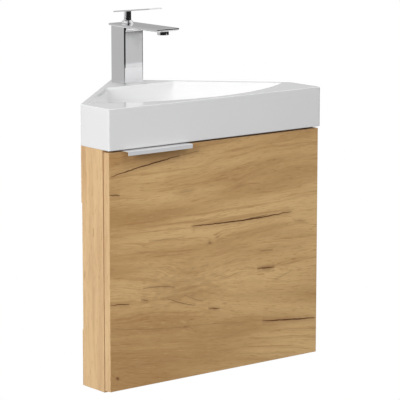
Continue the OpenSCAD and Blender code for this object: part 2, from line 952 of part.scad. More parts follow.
// Single-pivot cup hinge: the cup is sunk in the door, the hooked arm stays on the side panel
module hinge_cup(z) {
    y0 = door_back_y - cup_depth;
    lug_z = arm_nose_w / 2 + 0.4;
    color("silver")
    difference() {
        union() {
            difference() {
                union() {
                    rod_y([cup_x, y0, z], cup_d / 2, cup_depth + 1);
                    block([cup_x - 12, door_back_y, z - 29], [cup_x + 4, door_back_y + 1, z + 29]);
                }
                rod_y([cup_x, y0 + cup_floor, z], cup_d / 2 - cup_wall, cup_depth + 2);
            }
            for (s = [-1, 1])
                intersection() {
                    rod_y([cup_x, y0, z], cup_d / 2, cup_depth);
                    translate([pin_x - 3, y0, s > 0 ? z + lug_z : z - pin_l / 2])
                        cube([8, 6.5, pin_l / 2 - lug_z]);
                }
        }
        translate([pin_x, pin_y, z - pin_l / 2]) cylinder(r = hinge_pin_d / 2, h = pin_l);
        for (s = [-1, 1])
            rod_y([cup_x - 4, door_back_y - 1, z + s * 24], 1.75, 3);
    }
}

module hinge_cup_upper() { hinge_cup(hinge_zs[0]); }
module hinge_cup_lower() { hinge_cup(hinge_zs[1]); }

module hinge_pins() {
    color("dimgray")
    for (z = hinge_zs)
        translate([pin_x, pin_y, z - pin_l / 2]) cylinder(r = hinge_pin_d / 2, h = pin_l);
}

module hinge_arm(z) {
    x0 = arm_x;
    h = arm_nose_w / 2;
    seat_x = inner_x - mount_t;
    color("silver")
    difference() {
        union() {
            translate([pin_x, pin_y, z - h]) cylinder(r = eye_r, h = arm_nose_w);
            block([x0 - arm_t / 2, pin_y - arm_t / 2, z - h], [pin_x, pin_y + arm_t / 2, z + h]);
            block([x0 - arm_t / 2, pin_y - arm_t / 2, z - h], [x0 + arm_t / 2, panel_y + 14, z + h]);
            block([seat_x - 4, panel_y + 10, z - arm_w / 2], [seat_x, panel_y + arm_l, z + arm_w / 2]);
        }
        translate([pin_x, pin_y, z - h - 1]) cylinder(r = hinge_pin_d / 2 + run_clear, h = arm_nose_w + 2);
        rod_x([seat_x - 5, panel_y + arm_screw_from_front, z], 3, 10);
    }
}

module hinge_arm_upper() { hinge_arm(hinge_zs[0]); }
module hinge_arm_lower() { hinge_arm(hinge_zs[1]); }

module hinge_plate(z) {
    y = panel_y + mount_hole_from_front;
    color("silver")
    difference() {
        block([inner_x - mount_t, y - mount_l / 2, z - mount_w / 2],
              [inner_x, y + mount_l / 2, z + mount_w / 2]);
        hinge_plate_screws();
        hinge_arm_screws();
    }
}

module hinge_plate_upper() { hinge_plate(hinge_zs[0]); }
module hinge_plate_lower() { hinge_plate(hinge_zs[1]); }

module hinge_cup_screws() {
    color("gray")
    for (z = hinge_zs, s = [-1, 1])
        translate([cup_x - 4, door_back_y + 1, z + s * 24]) rotate([90, 0, 0]) {
            translate([0, 0, -1.2]) cylinder(r = 3.2, h = 1.2);
            cylinder(r = 1.75, h = 12);
        }
}

module hinge_plate_screws() {
    y = panel_y + mount_hole_from_front;
    color("gray")
    for (z = hinge_zs, s = [-1, 1]) {
        rod_x([inner_x - mount_t - 1.5, y, z + s * system_pitch / 2], 3.6, 1.5);
        rod_x([inner_x - mount_t - 1.5, y, z + s * system_pitch / 2], 2, 14);
    }
}

module hinge_arm_screws() {
    color("gray")
    for (z = hinge_zs) {
        rod_x([inner_x - mount_t - 6, panel_y + arm_screw_from_front, z], 4.5, 2);
        rod_x([inner_x - mount_t - 6, panel_y + arm_screw_from_front, z], 3, 6 + mount_t);
    }
}

// ---------------------------------------------------------------- output

basin();
tap_body();
tap_spout();
tap_collar();
tap_cartridge();
stem_guide();
lever();
lever_spindle();
lever_grub_screw();
aerator_shell();
aerator_insert();
aerator_seal();
inlet_sockets();
tap_base_seal();
tap_stud();
tap_clamp_rubber();
tap_clamp_plate();
tap_clamp_nut();
waste_body();
waste_seal_upper();
waste_seal_lower();
waste_nut();
click_housing();
waste_plug();
plug_seal();
side_left();
side_right();
bottom_panel();
front_stretcher();
rail_top_left();
rail_top_right();
rail_bottom_left();
rail_bottom_right();
rail_screws();
dowels();
cam_housings();
cam_bolts();
carcass_edge_bands();
door();
door_edge_bands();
handle();
handle_screws();
door_bumpers();
hinge_cup_upper();
hinge_cup_lower();
hinge_pins();
hinge_arm_upper();
hinge_arm_lower();
hinge_plate_upper();
hinge_plate_lower();
hinge_cup_screws();
hinge_plate_screws();
hinge_arm_screws();
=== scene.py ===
# Looks for the corner washbasin unit. Metres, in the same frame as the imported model.
import json
import math

import bmesh
import bpy
import numpy as np
from mathutils import Matrix, Vector


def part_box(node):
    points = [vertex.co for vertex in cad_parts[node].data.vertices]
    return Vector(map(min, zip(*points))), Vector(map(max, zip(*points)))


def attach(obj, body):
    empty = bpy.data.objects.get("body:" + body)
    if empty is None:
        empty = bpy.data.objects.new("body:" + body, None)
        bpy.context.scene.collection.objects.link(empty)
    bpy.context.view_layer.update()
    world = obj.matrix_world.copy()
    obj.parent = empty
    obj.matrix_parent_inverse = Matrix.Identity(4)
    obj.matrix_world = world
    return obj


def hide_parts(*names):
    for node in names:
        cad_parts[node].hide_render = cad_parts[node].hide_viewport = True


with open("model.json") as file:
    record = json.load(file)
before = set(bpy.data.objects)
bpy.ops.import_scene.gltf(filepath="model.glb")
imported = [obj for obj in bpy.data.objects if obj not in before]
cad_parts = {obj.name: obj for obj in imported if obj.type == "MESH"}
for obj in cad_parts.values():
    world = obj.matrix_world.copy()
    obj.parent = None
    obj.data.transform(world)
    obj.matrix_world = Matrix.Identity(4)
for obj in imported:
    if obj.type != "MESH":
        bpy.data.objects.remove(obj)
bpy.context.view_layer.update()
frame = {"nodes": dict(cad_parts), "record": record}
cadNodes = frame["nodes"]
record = frame["record"]
bodyOf = {node: body for body, members in record["behaviour"]["bodies"].items() for node in members}
slotOf = {part["node"]: part["material_slot"] for part in record["subparts"]}
mm = 0.001
print("frame loaded,", len(cadNodes), "nodes")


# Helpers for node trees

def setInput(tree, node, key, value):
    if isinstance(value, bpy.types.NodeSocket):
        tree.links.new(value, node.inputs[key])
    else:
        node.inputs[key].default_value = value


def addNode(tree, kind, values=None, **settings):
    node = tree.nodes.new(kind)
    for key, value in settings.items():
        setattr(node, key, value)
    for key, value in (values or {}).items():
        setInput(tree, node, key, value)
    return node


def addSocket(tree, label, way, kind):
    return tree.interface.new_socket(name=label, in_out=way, socket_type="NodeSocket" + kind)


# An input's kind follows from its first value: one number, or three for a place or a size
def addInputs(tree, inputs):
    for label, value in inputs.items():
        kind = "Vector" if isinstance(value, tuple) else "Float"
        addSocket(tree, label, "INPUT", kind).default_value = value


def calc(tree, operation, *terms):
    return addNode(tree, "ShaderNodeMath", dict(enumerate(terms)), operation=operation).outputs[0]


def vectorCalc(tree, operation, *terms):
    node = addNode(tree, "ShaderNodeVectorMath", dict(enumerate(terms)), operation=operation)
    return node.outputs["Value" if operation == "LENGTH" else "Vector"]


def mixColour(tree, factor, first, second):
    node = addNode(tree, "ShaderNodeMix", {0: factor}, data_type="RGBA")
    for key, value in ((6, first), (7, second)):
        setInput(tree, node, key, value if isinstance(value, bpy.types.NodeSocket) else (*value, 1))
    return node.outputs[2]


def ramp(tree, value, low, high):
    node = addNode(tree, "ShaderNodeMapRange", {"Value": value, "From Min": low, "From Max": high},
                   interpolation_type="SMOOTHSTEP")
    return node.outputs["Result"]


def noise(tree, place, scale, detail, roughness=0.5):
    return addNode(tree, "ShaderNodeTexNoise", {
        "Vector": place, "Scale": scale, "Detail": detail, "Roughness": roughness}).outputs[0]


# Noise runs from 0 to 1. This makes it swing to both sides of nothing
def swing(tree, value, size):
    return calc(tree, "MULTIPLY", calc(tree, "SUBTRACT", value, 0.5), size)


def newMaterial(name):
    material = bpy.data.materials.new(name)
    material.use_nodes = True
    tree = material.node_tree
    tree.nodes.clear()
    output = tree.nodes.new("ShaderNodeOutputMaterial")
    shader = tree.nodes.new("ShaderNodeBsdfPrincipled")
    tree.links.new(shader.outputs["BSDF"], output.inputs["Surface"])
    return material, tree, shader


def newGroup(name, inputs, outputs):
    group = bpy.data.node_groups.new(name, "ShaderNodeTree")
    addInputs(group, inputs)
    for label in outputs:
        addSocket(group, label, "OUTPUT", "Float")
    return group, group.nodes.new("NodeGroupInput").outputs, group.nodes.new("NodeGroupOutput")


def finishGroup(group, output, values):
    for label, value in values.items():
        group.links.new(value, output.inputs[label])
    return group


def useGroup(tree, group, **values):
    node = tree.nodes.new("ShaderNodeGroup")
    node.node_tree = group
    for key, value in values.items():
        label = "".join(" " + c if c.isupper() else c for c in key)
        setInput(tree, node, label[0].upper() + label[1:], value)
    return node.outputs


# Shared effects, each a group that gives masks, levels and heights

def buildGrainGroup():
    group, given, output = newGroup(
        "woodGrain",
        {"Position": (0, 0, 0), "Offset": (0, 0, 0), "Wander": 0.02, "Lift": 0.0, "Band Scale": 20.0,
         "Line Scale": 150.0, "Fan": 0.0, "Fan Level": 0.0},
        ["Bands", "Lines", "Fibres", "Flecks"])
    # Position runs with the grain along X and across it along Y
    moved = vectorCalc(group, "ADD", given["Position"], given["Offset"])
    split = addNode(group, "ShaderNodeSeparateXYZ", {0: moved}).outputs
    slow = noise(group, vectorCalc(group, "MULTIPLY", moved, (3.0, 7.0, 4.0)), 1.0, 2.0)
    across = calc(group, "ADD", split[1], swing(group, slow, given["Wander"]))
    across = calc(group, "ADD", across, given["Lift"])
    # the grain opens like a fan away from the level where it runs straight
    still = addNode(group, "ShaderNodeSeparateXYZ", {0: given["Position"]}).outputs
    opening = calc(group, "SUBTRACT", still[1], given["Fan Level"])
    opening = calc(group, "MULTIPLY", opening, given["Fan"])
    across = calc(group, "SUBTRACT", across, calc(group, "MULTIPLY", opening, still[0]))

    # changes per metre along the grain, across it and into the board, then the noise's own settings
    def layer(alongScale, acrossScale, inwardScale, detail, roughness=0.5):
        place = addNode(group, "ShaderNodeCombineXYZ", {
            "X": calc(group, "MULTIPLY", split[0], alongScale),
            "Y": calc(group, "MULTIPLY", across, acrossScale),
            "Z": calc(group, "MULTIPLY", split[2], inwardScale)})
        return noise(group, place.outputs[0], 1.0, detail, roughness)

    return finishGroup(group, output, {
        "Bands": layer(2.2, given["Band Scale"], 3.0, 3.0),
        "Lines": layer(5.0, given["Line Scale"], 20.0, 3.0, 0.6),
        "Fibres": layer(30.0, 700.0, 320.0, 2.0),
        "Flecks": layer(60.0, 620.0, 300.0, 1.0)})


# taper is where along its run a crack is fully open. Widths are shares of the crack's own width
crackShape = {"taper": (0.04, 0.93), "jagScale": 70.0, "jag": 0.004, "endWidth": 0.3, "core": 0.35,
              "shadeWidth": 7.0}


def buildCrackGroup():
    group, given, output = newGroup(
        "woodCrack",
        {"Position": (0, 0, 0), "From X": 0.0, "From Y": 0.0, "To X": 0.1, "To Y": 0.0, "Bow": 0.0,
         "Width": 0.001},
        ["Line", "Shade"])
    s = crackShape
    fromX, fromY, width = given["From X"], given["From Y"], given["Width"]
    place = addNode(group, "ShaderNodeSeparateXYZ", {0: given["Position"]}).outputs
    run = calc(group, "SUBTRACT", given["To X"], fromX)
    rise = calc(group, "SUBTRACT", given["To Y"], fromY)
    along = calc(group, "DIVIDE", calc(group, "SUBTRACT", place[0], fromX), run)
    opens, closes = s["taper"]
    inside = calc(group, "MULTIPLY", ramp(group, along, 0.0, opens), ramp(group, along, 1.0, closes))
    arch = calc(group, "MULTIPLY", along, calc(group, "SUBTRACT", 1.0, along))
    arch = calc(group, "MULTIPLY", arch, 4.0)  # 1 at the middle of the run
    line = calc(group, "MULTIPLY_ADD", rise, along, fromY)
    line = calc(group, "MULTIPLY_ADD", arch, given["Bow"], line)
    jag = noise(group, given["Position"], s["jagScale"], 3.0)
    line = calc(group, "ADD", line, swing(group, jag, s["jag"]))
    away = calc(group, "ABSOLUTE", calc(group, "SUBTRACT", place[1], line))
    narrow = calc(group, "ADD", calc(group, "MULTIPLY", arch, 1 - s["endWidth"]), s["endWidth"])
    narrow = calc(group, "MULTIPLY", width, narrow)
    wide = calc(group, "MULTIPLY", width, s["shadeWidth"])
    sharp = ramp(group, calc(group, "DIVIDE", away, narrow), 1.0, s["core"])
    soft = ramp(group, calc(group, "DIVIDE", away, wide), 1.0, 0.0)
    return finishGroup(group, output, {
        "Line": calc(group, "MULTIPLY", sharp, inside), "Shade": calc(group, "MULTIPLY", soft, inside)})


# all but roughScale count in the knot's own half sizes
knotShape = {"roughScale": (60, 160, 60), "rough": 1.8, "full": 0.15, "core": 0.5, "pushReach": 3.2}


def buildKnotGroup():
    group, given, output = newGroup(
        "woodKnot", {"Position": (0, 0, 0), "Centre": (0, 0, 0), "Size": (0.01, 0.01, 1)},
        ["Disc", "Core", "Push"])
    s = knotShape
    rough = noise(group, vectorCalc(group, "MULTIPLY", given["Position"], s["roughScale"]), 1.0, 3.0)
    local = vectorCalc(group, "SUBTRACT", given["Position"], given["Centre"])
    local = vectorCalc(group, "DIVIDE", local, given["Size"])
    flat = vectorCalc(group, "MULTIPLY", local, (1, 1, 0))
    away = vectorCalc(group, "LENGTH", flat)
    ragged = calc(group, "ADD", away, swing(group, rough, s["rough"]))
    side = calc(group, "SIGN", addNode(group, "ShaderNodeSeparateXYZ", {0: flat}).outputs[1])
    return finishGroup(group, output, {
        "Disc": ramp(group, ragged, 1.0, s["full"]), "Core": ramp(group, ragged, s["core"], s["full"]),
        "Push": calc(group, "MULTIPLY", ramp(group, away, s["pushReach"], 0.0), side)})


# Where hands and water leave a surface less glossy
def buildSmudgeGroup():
    group, given, output = newGroup(
        "handling", {"Position": (0, 0, 0), "Scale": 30.0, "Clean": 0.1, "Soiled": 0.2}, ["Roughness"])
    mask = ramp(group, noise(group, given["Position"], given["Scale"], 4.0, 0.6), 0.35, 0.7)
    more = calc(group, "SUBTRACT", given["Soiled"], given["Clean"])
    return finishGroup(group, output, {
        "Roughness": calc(group, "MULTIPLY_ADD", mask, more, given["Clean"])})


def buildBrushGroup():
    group, given, output = newGroup(
        "brushedLines", {"Position": (0, 0, 0), "Stretch": (40, 2500, 2500)}, ["Height"])
    place = vectorCalc(group, "MULTIPLY", given["Position"], given["Stretch"])
    return finishGroup(group, output, {"Height": noise(group, place, 1.0, 2.0)})


grainGroup = buildGrainGroup()
crackGroup = buildCrackGroup()
knotGroup = buildKnotGroup()
smudgeGroup = buildSmudgeGroup()
brushGroup = buildBrushGroup()


# Wood decor

def strongest(tree, masks):
    total = 0.0
    for mask in masks:
        total = calc(tree, "MAXIMUM", total, mask)
    return total


# The knots' masks, and how far they push the grain aside
def knotMasks(tree, place, knots):
    discs, cores, lift = [], [], 0.0
    for x, z, halfWidth, halfHeight, strength, push in knots:
        knot = useGroup(tree, knotGroup, position=place, centre=(x * mm, z * mm, 0),
                        size=(halfWidth * mm, halfHeight * mm, 1))
        lift = calc(tree, "ADD", lift, calc(tree, "MULTIPLY", knot["Push"], halfHeight * mm * push))
        discs.append(calc(tree, "MULTIPLY", knot["Disc"], strength))
        cores.append(calc(tree, "MULTIPLY", knot["Core"], strength ** 3))
    return strongest(tree, discs), strongest(tree, cores), lift


def crackMasks(tree, place, cracks):
    lines, shades = [], []
    for x, z, toX, toZ, bow, halfWidth, strength in cracks:
        crack = useGroup(tree, crackGroup, position=place, fromX=x * mm, fromY=z * mm, toX=toX * mm,
                         toY=toZ * mm, bow=bow * mm, width=halfWidth * mm)
        lines.append(calc(tree, "MULTIPLY", crack["Line"], strength))
        shades.append(calc(tree, "MULTIPLY", crack["Shade"], strength))
    return strongest(tree, lines), strongest(tree, shades)


# a layer's output, the ends of its mask, how much of it shows, and its colour
grainLayers = (("Lines", 0.52, 0.70, "lineDepth", "line"), ("Fibres", 0.50, 0.78, "fibreDepth", "line"),
               ("Flecks", 0.60, 0.80, "fleckDepth", "pale"), ("Flecks", 0.42, 0.24, "poreDepth", "line"))
woodFinish = {"bandEnds": (0.33, 0.67), "disc": 0.6, "core": 0.7, "shade": 0.32, "line": 1.0, "groove": 1.2,
              "smudgeScale": 24.0, "soiling": 0.08, "bump": 0.12, "bumpDepth": 0.0004}


# lean is how much paler the board gets per metre, along its own x
def woodMaterial(name, look, cracks=(), knots=()):
    material, tree, shader = newMaterial(name)
    place = addNode(tree, "ShaderNodeTexCoord").outputs["Object"]
    turned = addNode(tree, "ShaderNodeMapping", {"Vector": place, "Rotation": look["turn"]}).outputs[0]
    discs, cores, lift = knotMasks(tree, turned, knots)
    lines, shades = crackMasks(tree, turned, cracks)
    shape = {key: look[key] for key in ("offset", "wander", "bandScale", "lineScale", "fan", "fanLevel")}
    grain = useGroup(tree, grainGroup, position=turned, lift=lift, **shape)
    along = addNode(tree, "ShaderNodeSeparateXYZ", {0: turned}).outputs[0]
    tone = calc(tree, "ADD", grain["Bands"], calc(tree, "MULTIPLY", along, look["lean"]))
    colour = mixColour(tree, ramp(tree, tone, *woodFinish["bandEnds"]), look["dark"], look["light"])
    for label, low, high, depth, tint in grainLayers:
        mask = calc(tree, "MULTIPLY", ramp(tree, grain[label], low, high), look[depth])
        colour = mixColour(tree, mask, colour, look[tint])
    for mask, depth, tint in ((discs, "disc", "knot"), (cores, "core", "crack"), (shades, "shade", "knot"),
                              (lines, "line", "crack")):
        colour = mixColour(tree, calc(tree, "MULTIPLY", mask, woodFinish[depth]), colour, look[tint])
    tree.links.new(colour, shader.inputs["Base Color"])
    smudge = useGroup(tree, smudgeGroup, position=place, scale=woodFinish["smudgeScale"],
                      clean=look["roughness"], soiled=look["roughness"] + woodFinish["soiling"])
    tree.links.new(smudge["Roughness"], shader.inputs["Roughness"])
    height = calc(tree, "SUBTRACT", grain["Fibres"], calc(tree, "MULTIPLY", lines, woodFinish["groove"]))
    bump = addNode(tree, "ShaderNodeBump", {
        "Height": height, "Strength": woodFinish["bump"], "Distance": woodFinish["bumpDepth"]})
    tree.links.new(bump.outputs[0], shader.inputs["Normal"])
    shader.inputs["Specular IOR Level"].default_value = look["shine"]
    return material


quarterTurn = math.radians(90)
goldenOak = {
    "turn": (-quarterTurn, 0, 0), "offset": (1.31, 0.27, 0.4), "wander": 0.05, "fan": 0.55, "fanLevel": 0.32,
    "lean": 0.42, "bandScale": 19.0, "lineScale": 190.0,
    "lineDepth": 0.40, "fibreDepth": 0.38, "fleckDepth": 0.36, "poreDepth": 0.42,
    "light": (0.85, 0.570, 0.264), "dark": (0.575, 0.335, 0.138), "line": (0.45, 0.205, 0.068),
    "pale": (0.86, 0.60, 0.32), "knot": (0.39, 0.190, 0.078), "crack": (0.110, 0.040, 0.010),
    "roughness": 0.46, "shine": 0.20,
}
paleOak = {
    "turn": (0, quarterTurn, 0), "offset": (0.83, 0.11, 0.9), "wander": 0.02, "fan": 0.0, "fanLevel": 0.0,
    "lean": 0.0, "bandScale": 34.0, "lineScale": 150.0,
    "lineDepth": 0.26, "fibreDepth": 0.34, "fleckDepth": 0.22, "poreDepth": 0.45,
    "light": (0.83, 0.570, 0.298), "dark": (0.66, 0.402, 0.202), "line": (0.50, 0.285, 0.12),
    "pale": (0.88, 0.66, 0.41), "knot": (0.42, 0.23, 0.10), "crack": (0.12, 0.06, 0.03),
    "roughness": 0.48, "shine": 0.35,
}
# x, z, to x, to z, bow, half width, strength, all in mm on the door's face
doorCracks = [
    (-237.5, 386, -77, 410, 1.5, 1.6, 1.0), (-79, 409.5, -40, 413, 0.5, 0.9, 0.5),
    (-238, 355, -214, 352, 0, 2.2, 0.7), (-62, 280, 182, 279.5, -3.5, 1.8, 1.0),
    (60, 276.5, 120, 280.5, -0.4, 1.5, 0.6), (-155, 264, -70, 261, 0, 0.8, 0.4),
    (100, 214, 133, 213, 0, 0.8, 0.6), (93, 182, 137, 179, 0, 1.5, 0.85),
    (134, 157, 178, 169, -2, 1.0, 0.35), (-168, 180, -92, 172, 3, 1.1, 0.5),
    (-114, 156, -46, 134, -3, 1.1, 0.55), (-75, 157, -30, 139, -2, 0.9, 0.4),
    (-238, 161, -194, 156, 0, 1.3, 0.85), (-171, 161, -154, 157, 0, 1.2, 0.6),
    (-20, 124, 8, 120, 0, 1.3, 0.75), (104, 83, 240, 69.5, -0.8, 1.8, 1.0),
    (-238, 119, -70, 98, -3, 1.3, 0.22), (-70, 98, 70, 85, 2, 1.0, 0.18),
    (-229, 44, -80, 39, 1, 0.8, 0.18), (-48, 420, 60, 423, 1, 0.8, 0.3),
    (180, 260, 212, 258, 1, 0.9, 0.35),
]
# x, z, half width, half height, strength, how far the grain is pushed aside in half heights
doorKnots = [
    (53, 343, 16, 9, 0.35, 0.8), (-72, 342, 44, 9, 0.40, 0.3), (-17, 244, 11, 7, 0.8, 0.9),
    (1, 252, 8, 5, 0.5, 0.7), (117, 180, 30, 8, 0.55, 0.8), (-95, 158, 60, 26, 0.22, 0.35),
    (-72, 98, 13, 6, 0.7, 0.9), (-222, 26, 6, 6, 0.95, 1.0), (196, 260, 12, 4, 0.5, 1.0),
    (-8, 122, 14, 4, 0.5, 1.0), (-163, 256, 12, 5, 0.3, 0.8), (-222, 408, 10, 5, 0.4, 1.0),
    (-45, 174, 36, 20, 0.16, 0.5), (60, 410, 90, 12, 0.2, 0.2), (-84, 172, 150, 52, 0.42, 0.12),
]
# the side panel's marks, written the same way with z and y in place of x and z
sideCracks = [(274, -273, 291, -273.5, 0.3, 0.7, 0.55), (392, -272, 412, -271, 0.3, 0.5, 0.3)]
sideKnots = [(204, -246, 14, 5, 0.5, 1.3), (206, -289, 8, 3, 0.5, 1.0), (212, -262, 40, 3, 0.25, 0.5)]
beech = {"turn": (0, 0, 0), "light": (0.72, 0.50, 0.32), "dark": (0.62, 0.40, 0.24),
         "line": (0.45, 0.26, 0.14), "lineScale": 400.0}

oakFront = woodMaterial("rusticOakFront", goldenOak, doorCracks, doorKnots)
oakSide = woodMaterial("lightOakPanel", paleOak, sideCracks, sideKnots)
oakEdge = woodMaterial("lightOakEdge", {**paleOak, "offset": (0.2, 0.61, 0.3), "lineDepth": 0.3})
oakFlat = woodMaterial("lightOakFlat", {**paleOak, "turn": (0, 0, 0), "offset": (0.5, 0.9, 0.2)})
oakRail = {}
for side, angle in (("left", -45), ("right", 45)):  # the rails' walls stand aslant
    grain = {"turn": (-quarterTurn, math.radians(angle), 0), "offset": (0.5, 0.9, 0.2 + angle / 100)}
    oakRail[side] = woodMaterial("lightOakRail" + side.capitalize(), {**paleOak, **grain})
beechWood = woodMaterial("beechDowel", {**paleOak, **beech})
print("wood materials built")


# Other finishes

plainFinish = {"cloudDetail": 4.0, "cloudEnds": (0.3, 0.7), "bumpDetail": 3.0, "bumpDepth": 0.0002}


def plainMaterial(name, look):
    material, tree, shader = newMaterial(name)
    place = addNode(tree, "ShaderNodeTexCoord").outputs["Object"]
    cloud = noise(tree, place, look["cloudScale"], plainFinish["cloudDetail"])
    tone = ramp(tree, cloud, *plainFinish["cloudEnds"])
    tree.links.new(mixColour(tree, tone, look["colour"], look["shade"]), shader.inputs["Base Color"])
    smudge = useGroup(tree, smudgeGroup, position=place, scale=look["smudgeScale"], clean=look["clean"],
                      soiled=look["soiled"])
    tree.links.new(smudge["Roughness"], shader.inputs["Roughness"])
    shader.inputs["Metallic"].default_value = look.get("metallic", 0.0)
    shader.inputs["Specular IOR Level"].default_value = look.get("shine", 0.5)
    if "stretch" in look:
        height = useGroup(tree, brushGroup, position=place, stretch=look["stretch"])["Height"]
    else:
        height = noise(tree, place, look["bumpScale"], plainFinish["bumpDetail"])
    bump = addNode(tree, "ShaderNodeBump", {
        "Height": height, "Strength": look["bump"], "Distance": plainFinish["bumpDepth"]})
    tree.links.new(bump.outputs[0], shader.inputs["Normal"])
    return material


rubberGrain = {"cloudScale": 90.0, "smudgeScale": 90.0}
plasticGrain = {"cloudScale": 80.0, "smudgeScale": 80.0, "bumpScale": 1000.0}
plainLooks = {
    "basinWhite": {"colour": (0.905, 0.905, 0.905), "shade": (0.895, 0.895, 0.897), "cloudScale": 6.0,
                   "smudgeScale": 14.0, "clean": 0.03, "soiled": 0.05, "bumpScale": 60.0, "bump": 0.004},
    "chromePlate": {"colour": (0.78, 0.78, 0.79), "shade": (0.76, 0.76, 0.77), "cloudScale": 12.0,
                    "smudgeScale": 40.0, "clean": 0.035, "soiled": 0.07, "bumpScale": 80.0, "bump": 0.01,
                    "metallic": 1.0},
    "satinAluminium": {"colour": (0.80, 0.805, 0.81), "shade": (0.77, 0.775, 0.785), "cloudScale": 20.0,
                       "smudgeScale": 50.0, "clean": 0.30, "soiled": 0.38, "bump": 0.05,
                       "metallic": 0.25, "stretch": (30, 2600, 2600)},
    "nickelSteel": {"colour": (0.66, 0.65, 0.63), "shade": (0.60, 0.595, 0.58), "cloudScale": 60.0,
                    "smudgeScale": 120.0, "clean": 0.22, "soiled": 0.34, "bumpScale": 700.0, "bump": 0.08,
                    "metallic": 1.0},
    "zincSteel": {"colour": (0.58, 0.59, 0.61), "shade": (0.50, 0.51, 0.54), "cloudScale": 150.0,
                  "smudgeScale": 200.0, "clean": 0.28, "soiled": 0.45, "bumpScale": 900.0, "bump": 0.1,
                  "metallic": 1.0},
    "turnedBrass": {"colour": (0.70, 0.52, 0.25), "shade": (0.60, 0.43, 0.20), "cloudScale": 100.0,
                    "smudgeScale": 150.0, "clean": 0.22, "soiled": 0.36, "bump": 0.08,
                    "metallic": 1.0, "stretch": (1500, 1500, 60)},
    "blackRubber": {"colour": (0.022, 0.022, 0.023), "shade": (0.034, 0.034, 0.034), **rubberGrain,
                    "clean": 0.55, "soiled": 0.75, "bumpScale": 1200.0, "bump": 0.15, "shine": 0.3},
    "greySilicone": {"colour": (0.52, 0.52, 0.50), "shade": (0.46, 0.46, 0.45), **rubberGrain,
                     "clean": 0.40, "soiled": 0.55, "bumpScale": 900.0, "bump": 0.05},
    "ivoryPlastic": {"colour": (0.78, 0.75, 0.66), "shade": (0.73, 0.70, 0.61), **plasticGrain,
                     "clean": 0.32, "soiled": 0.42, "bump": 0.06},
    "greyPlastic": {"colour": (0.15, 0.15, 0.155), "shade": (0.12, 0.12, 0.125), **plasticGrain,
                    "clean": 0.35, "soiled": 0.48, "bump": 0.08},
    "whitePlastic": {"colour": (0.78, 0.78, 0.77), "shade": (0.74, 0.74, 0.73), **plasticGrain,
                     "clean": 0.30, "soiled": 0.42, "bump": 0.05},
}
plain = {name: plainMaterial(name, look) for name, look in plainLooks.items()}
slotMaterial = {
    "mineral_white": plain["basinWhite"], "chrome": plain["chromePlate"],
    "satin_aluminium": plain["satinAluminium"], "nickel_steel": plain["nickelSteel"],
    "zinc_steel": plain["zincSteel"], "brass": plain["turnedBrass"], "black_rubber": plain["blackRubber"],
    "clear_rubber": plain["greySilicone"], "ivory_plastic": plain["ivoryPlastic"],
    "grey_plastic": plain["greyPlastic"], "white_plastic": plain["whitePlastic"], "beech": beechWood,
    "light_oak": oakSide, "light_oak_edge": oakEdge, "rustic_oak": oakFront, "rustic_oak_edge": oakEdge,
}
flatBoards = ("bottom_panel", "front_stretcher")
rails = ("rail_top_left", "rail_top_right", "rail_bottom_left", "rail_bottom_right")
materialOf = {name: slotMaterial[slotOf[name]] for name in cadNodes}
materialOf.update({name: oakFlat for name in flatBoards})
materialOf.update({name: oakRail[name.split("_")[-1]] for name in rails})
for name, node in cadNodes.items():
    node.data.materials.clear()
    node.data.materials.append(materialOf[name])
print("plain materials built")


# Mesh helpers

def putIn(name, data):
    thing = bpy.data.objects.new(name, data)
    bpy.context.scene.collection.objects.link(thing)
    return thing


def linkPiece(name, node, mesh, material):
    piece = putIn(name, mesh)
    mesh.materials.clear()
    mesh.materials.append(material)
    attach(piece, bodyOf[node])
    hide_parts(node)


def bakePiece(holder, name):
    graph = bpy.context.evaluated_depsgraph_get()
    mesh = bpy.data.meshes.new_from_object(holder.evaluated_get(graph))
    mesh.name = name
    bpy.data.objects.remove(holder)
    return mesh


def smoothShade(mesh, angle):
    mesh.shade_smooth()
    mesh.set_sharp_from_angle(angle=math.radians(angle))


# A CAD node's mesh is loose triangles, so its corners are joined before any work on it
def mergedCopy(node):
    mesh = cadNodes[node].data.copy()
    work = bmesh.new()
    work.from_mesh(mesh)
    bmesh.ops.remove_doubles(work, verts=work.verts, dist=2e-6)
    return mesh, work


def finishWork(work, mesh):
    work.to_mesh(mesh)
    work.free()


# Wide flat faces stay flat in the shading, and only the turned edges shade round
def steadyFaces(mesh, name):
    holder = putIn(name + "Work", mesh)
    steady = holder.modifiers.new("faces", "WEIGHTED_NORMAL")
    steady.mode = "FACE_AREA"
    steady.weight = 100
    steady.keep_sharp = True
    return bakePiece(holder, name)


# degrees: flatter joints merge into one face, steeper ones count as an edge, and what stays sharp
edgeAngles = {"flat": 0.6, "edge": 20, "sharp": 40}
# mm: how close a point lies to a ring or a level to be on it
near = {"ring": 0.1, "level": 0.05}


# Takes the sharp edges of a CAD node off. keep picks the edges by their two ends, in mm
def softEdges(node, radius, keep, segments, clamp):
    mesh, work = mergedCopy(node)
    bmesh.ops.dissolve_limit(work, angle_limit=math.radians(edgeAngles["flat"]), verts=work.verts,
                             edges=work.edges)
    weight = work.edges.layers.float.new("bevel_weight_edge")
    least = math.radians(edgeAngles["edge"])
    picked = [edge for edge in work.edges
              if len(edge.link_faces) == 2 and edge.calc_face_angle(0) > least
              and keep(*(vert.co / mm for vert in edge.verts))]
    for edge in picked:
        edge[weight] = 1.0
    print("softened", node, len(picked), "edges")
    finishWork(work, mesh)
    holder = putIn(node + "Work", mesh)
    bevel = holder.modifiers.new("edges", "BEVEL")
    bevel.limit_method = "WEIGHT"
    bevel.width = radius * mm
    bevel.segments = segments
    bevel.use_clamp_overlap = clamp
    out = bakePiece(holder, node + "Soft")
    smoothShade(out, edgeAngles["sharp"])
    return steadyFaces(out, node + "Soft")


def softPiece(name, node, radius, keep, segments=3, clamp=False):
    linkPiece(name, node, softEdges(node, radius, keep, segments, clamp), materialOf[node])


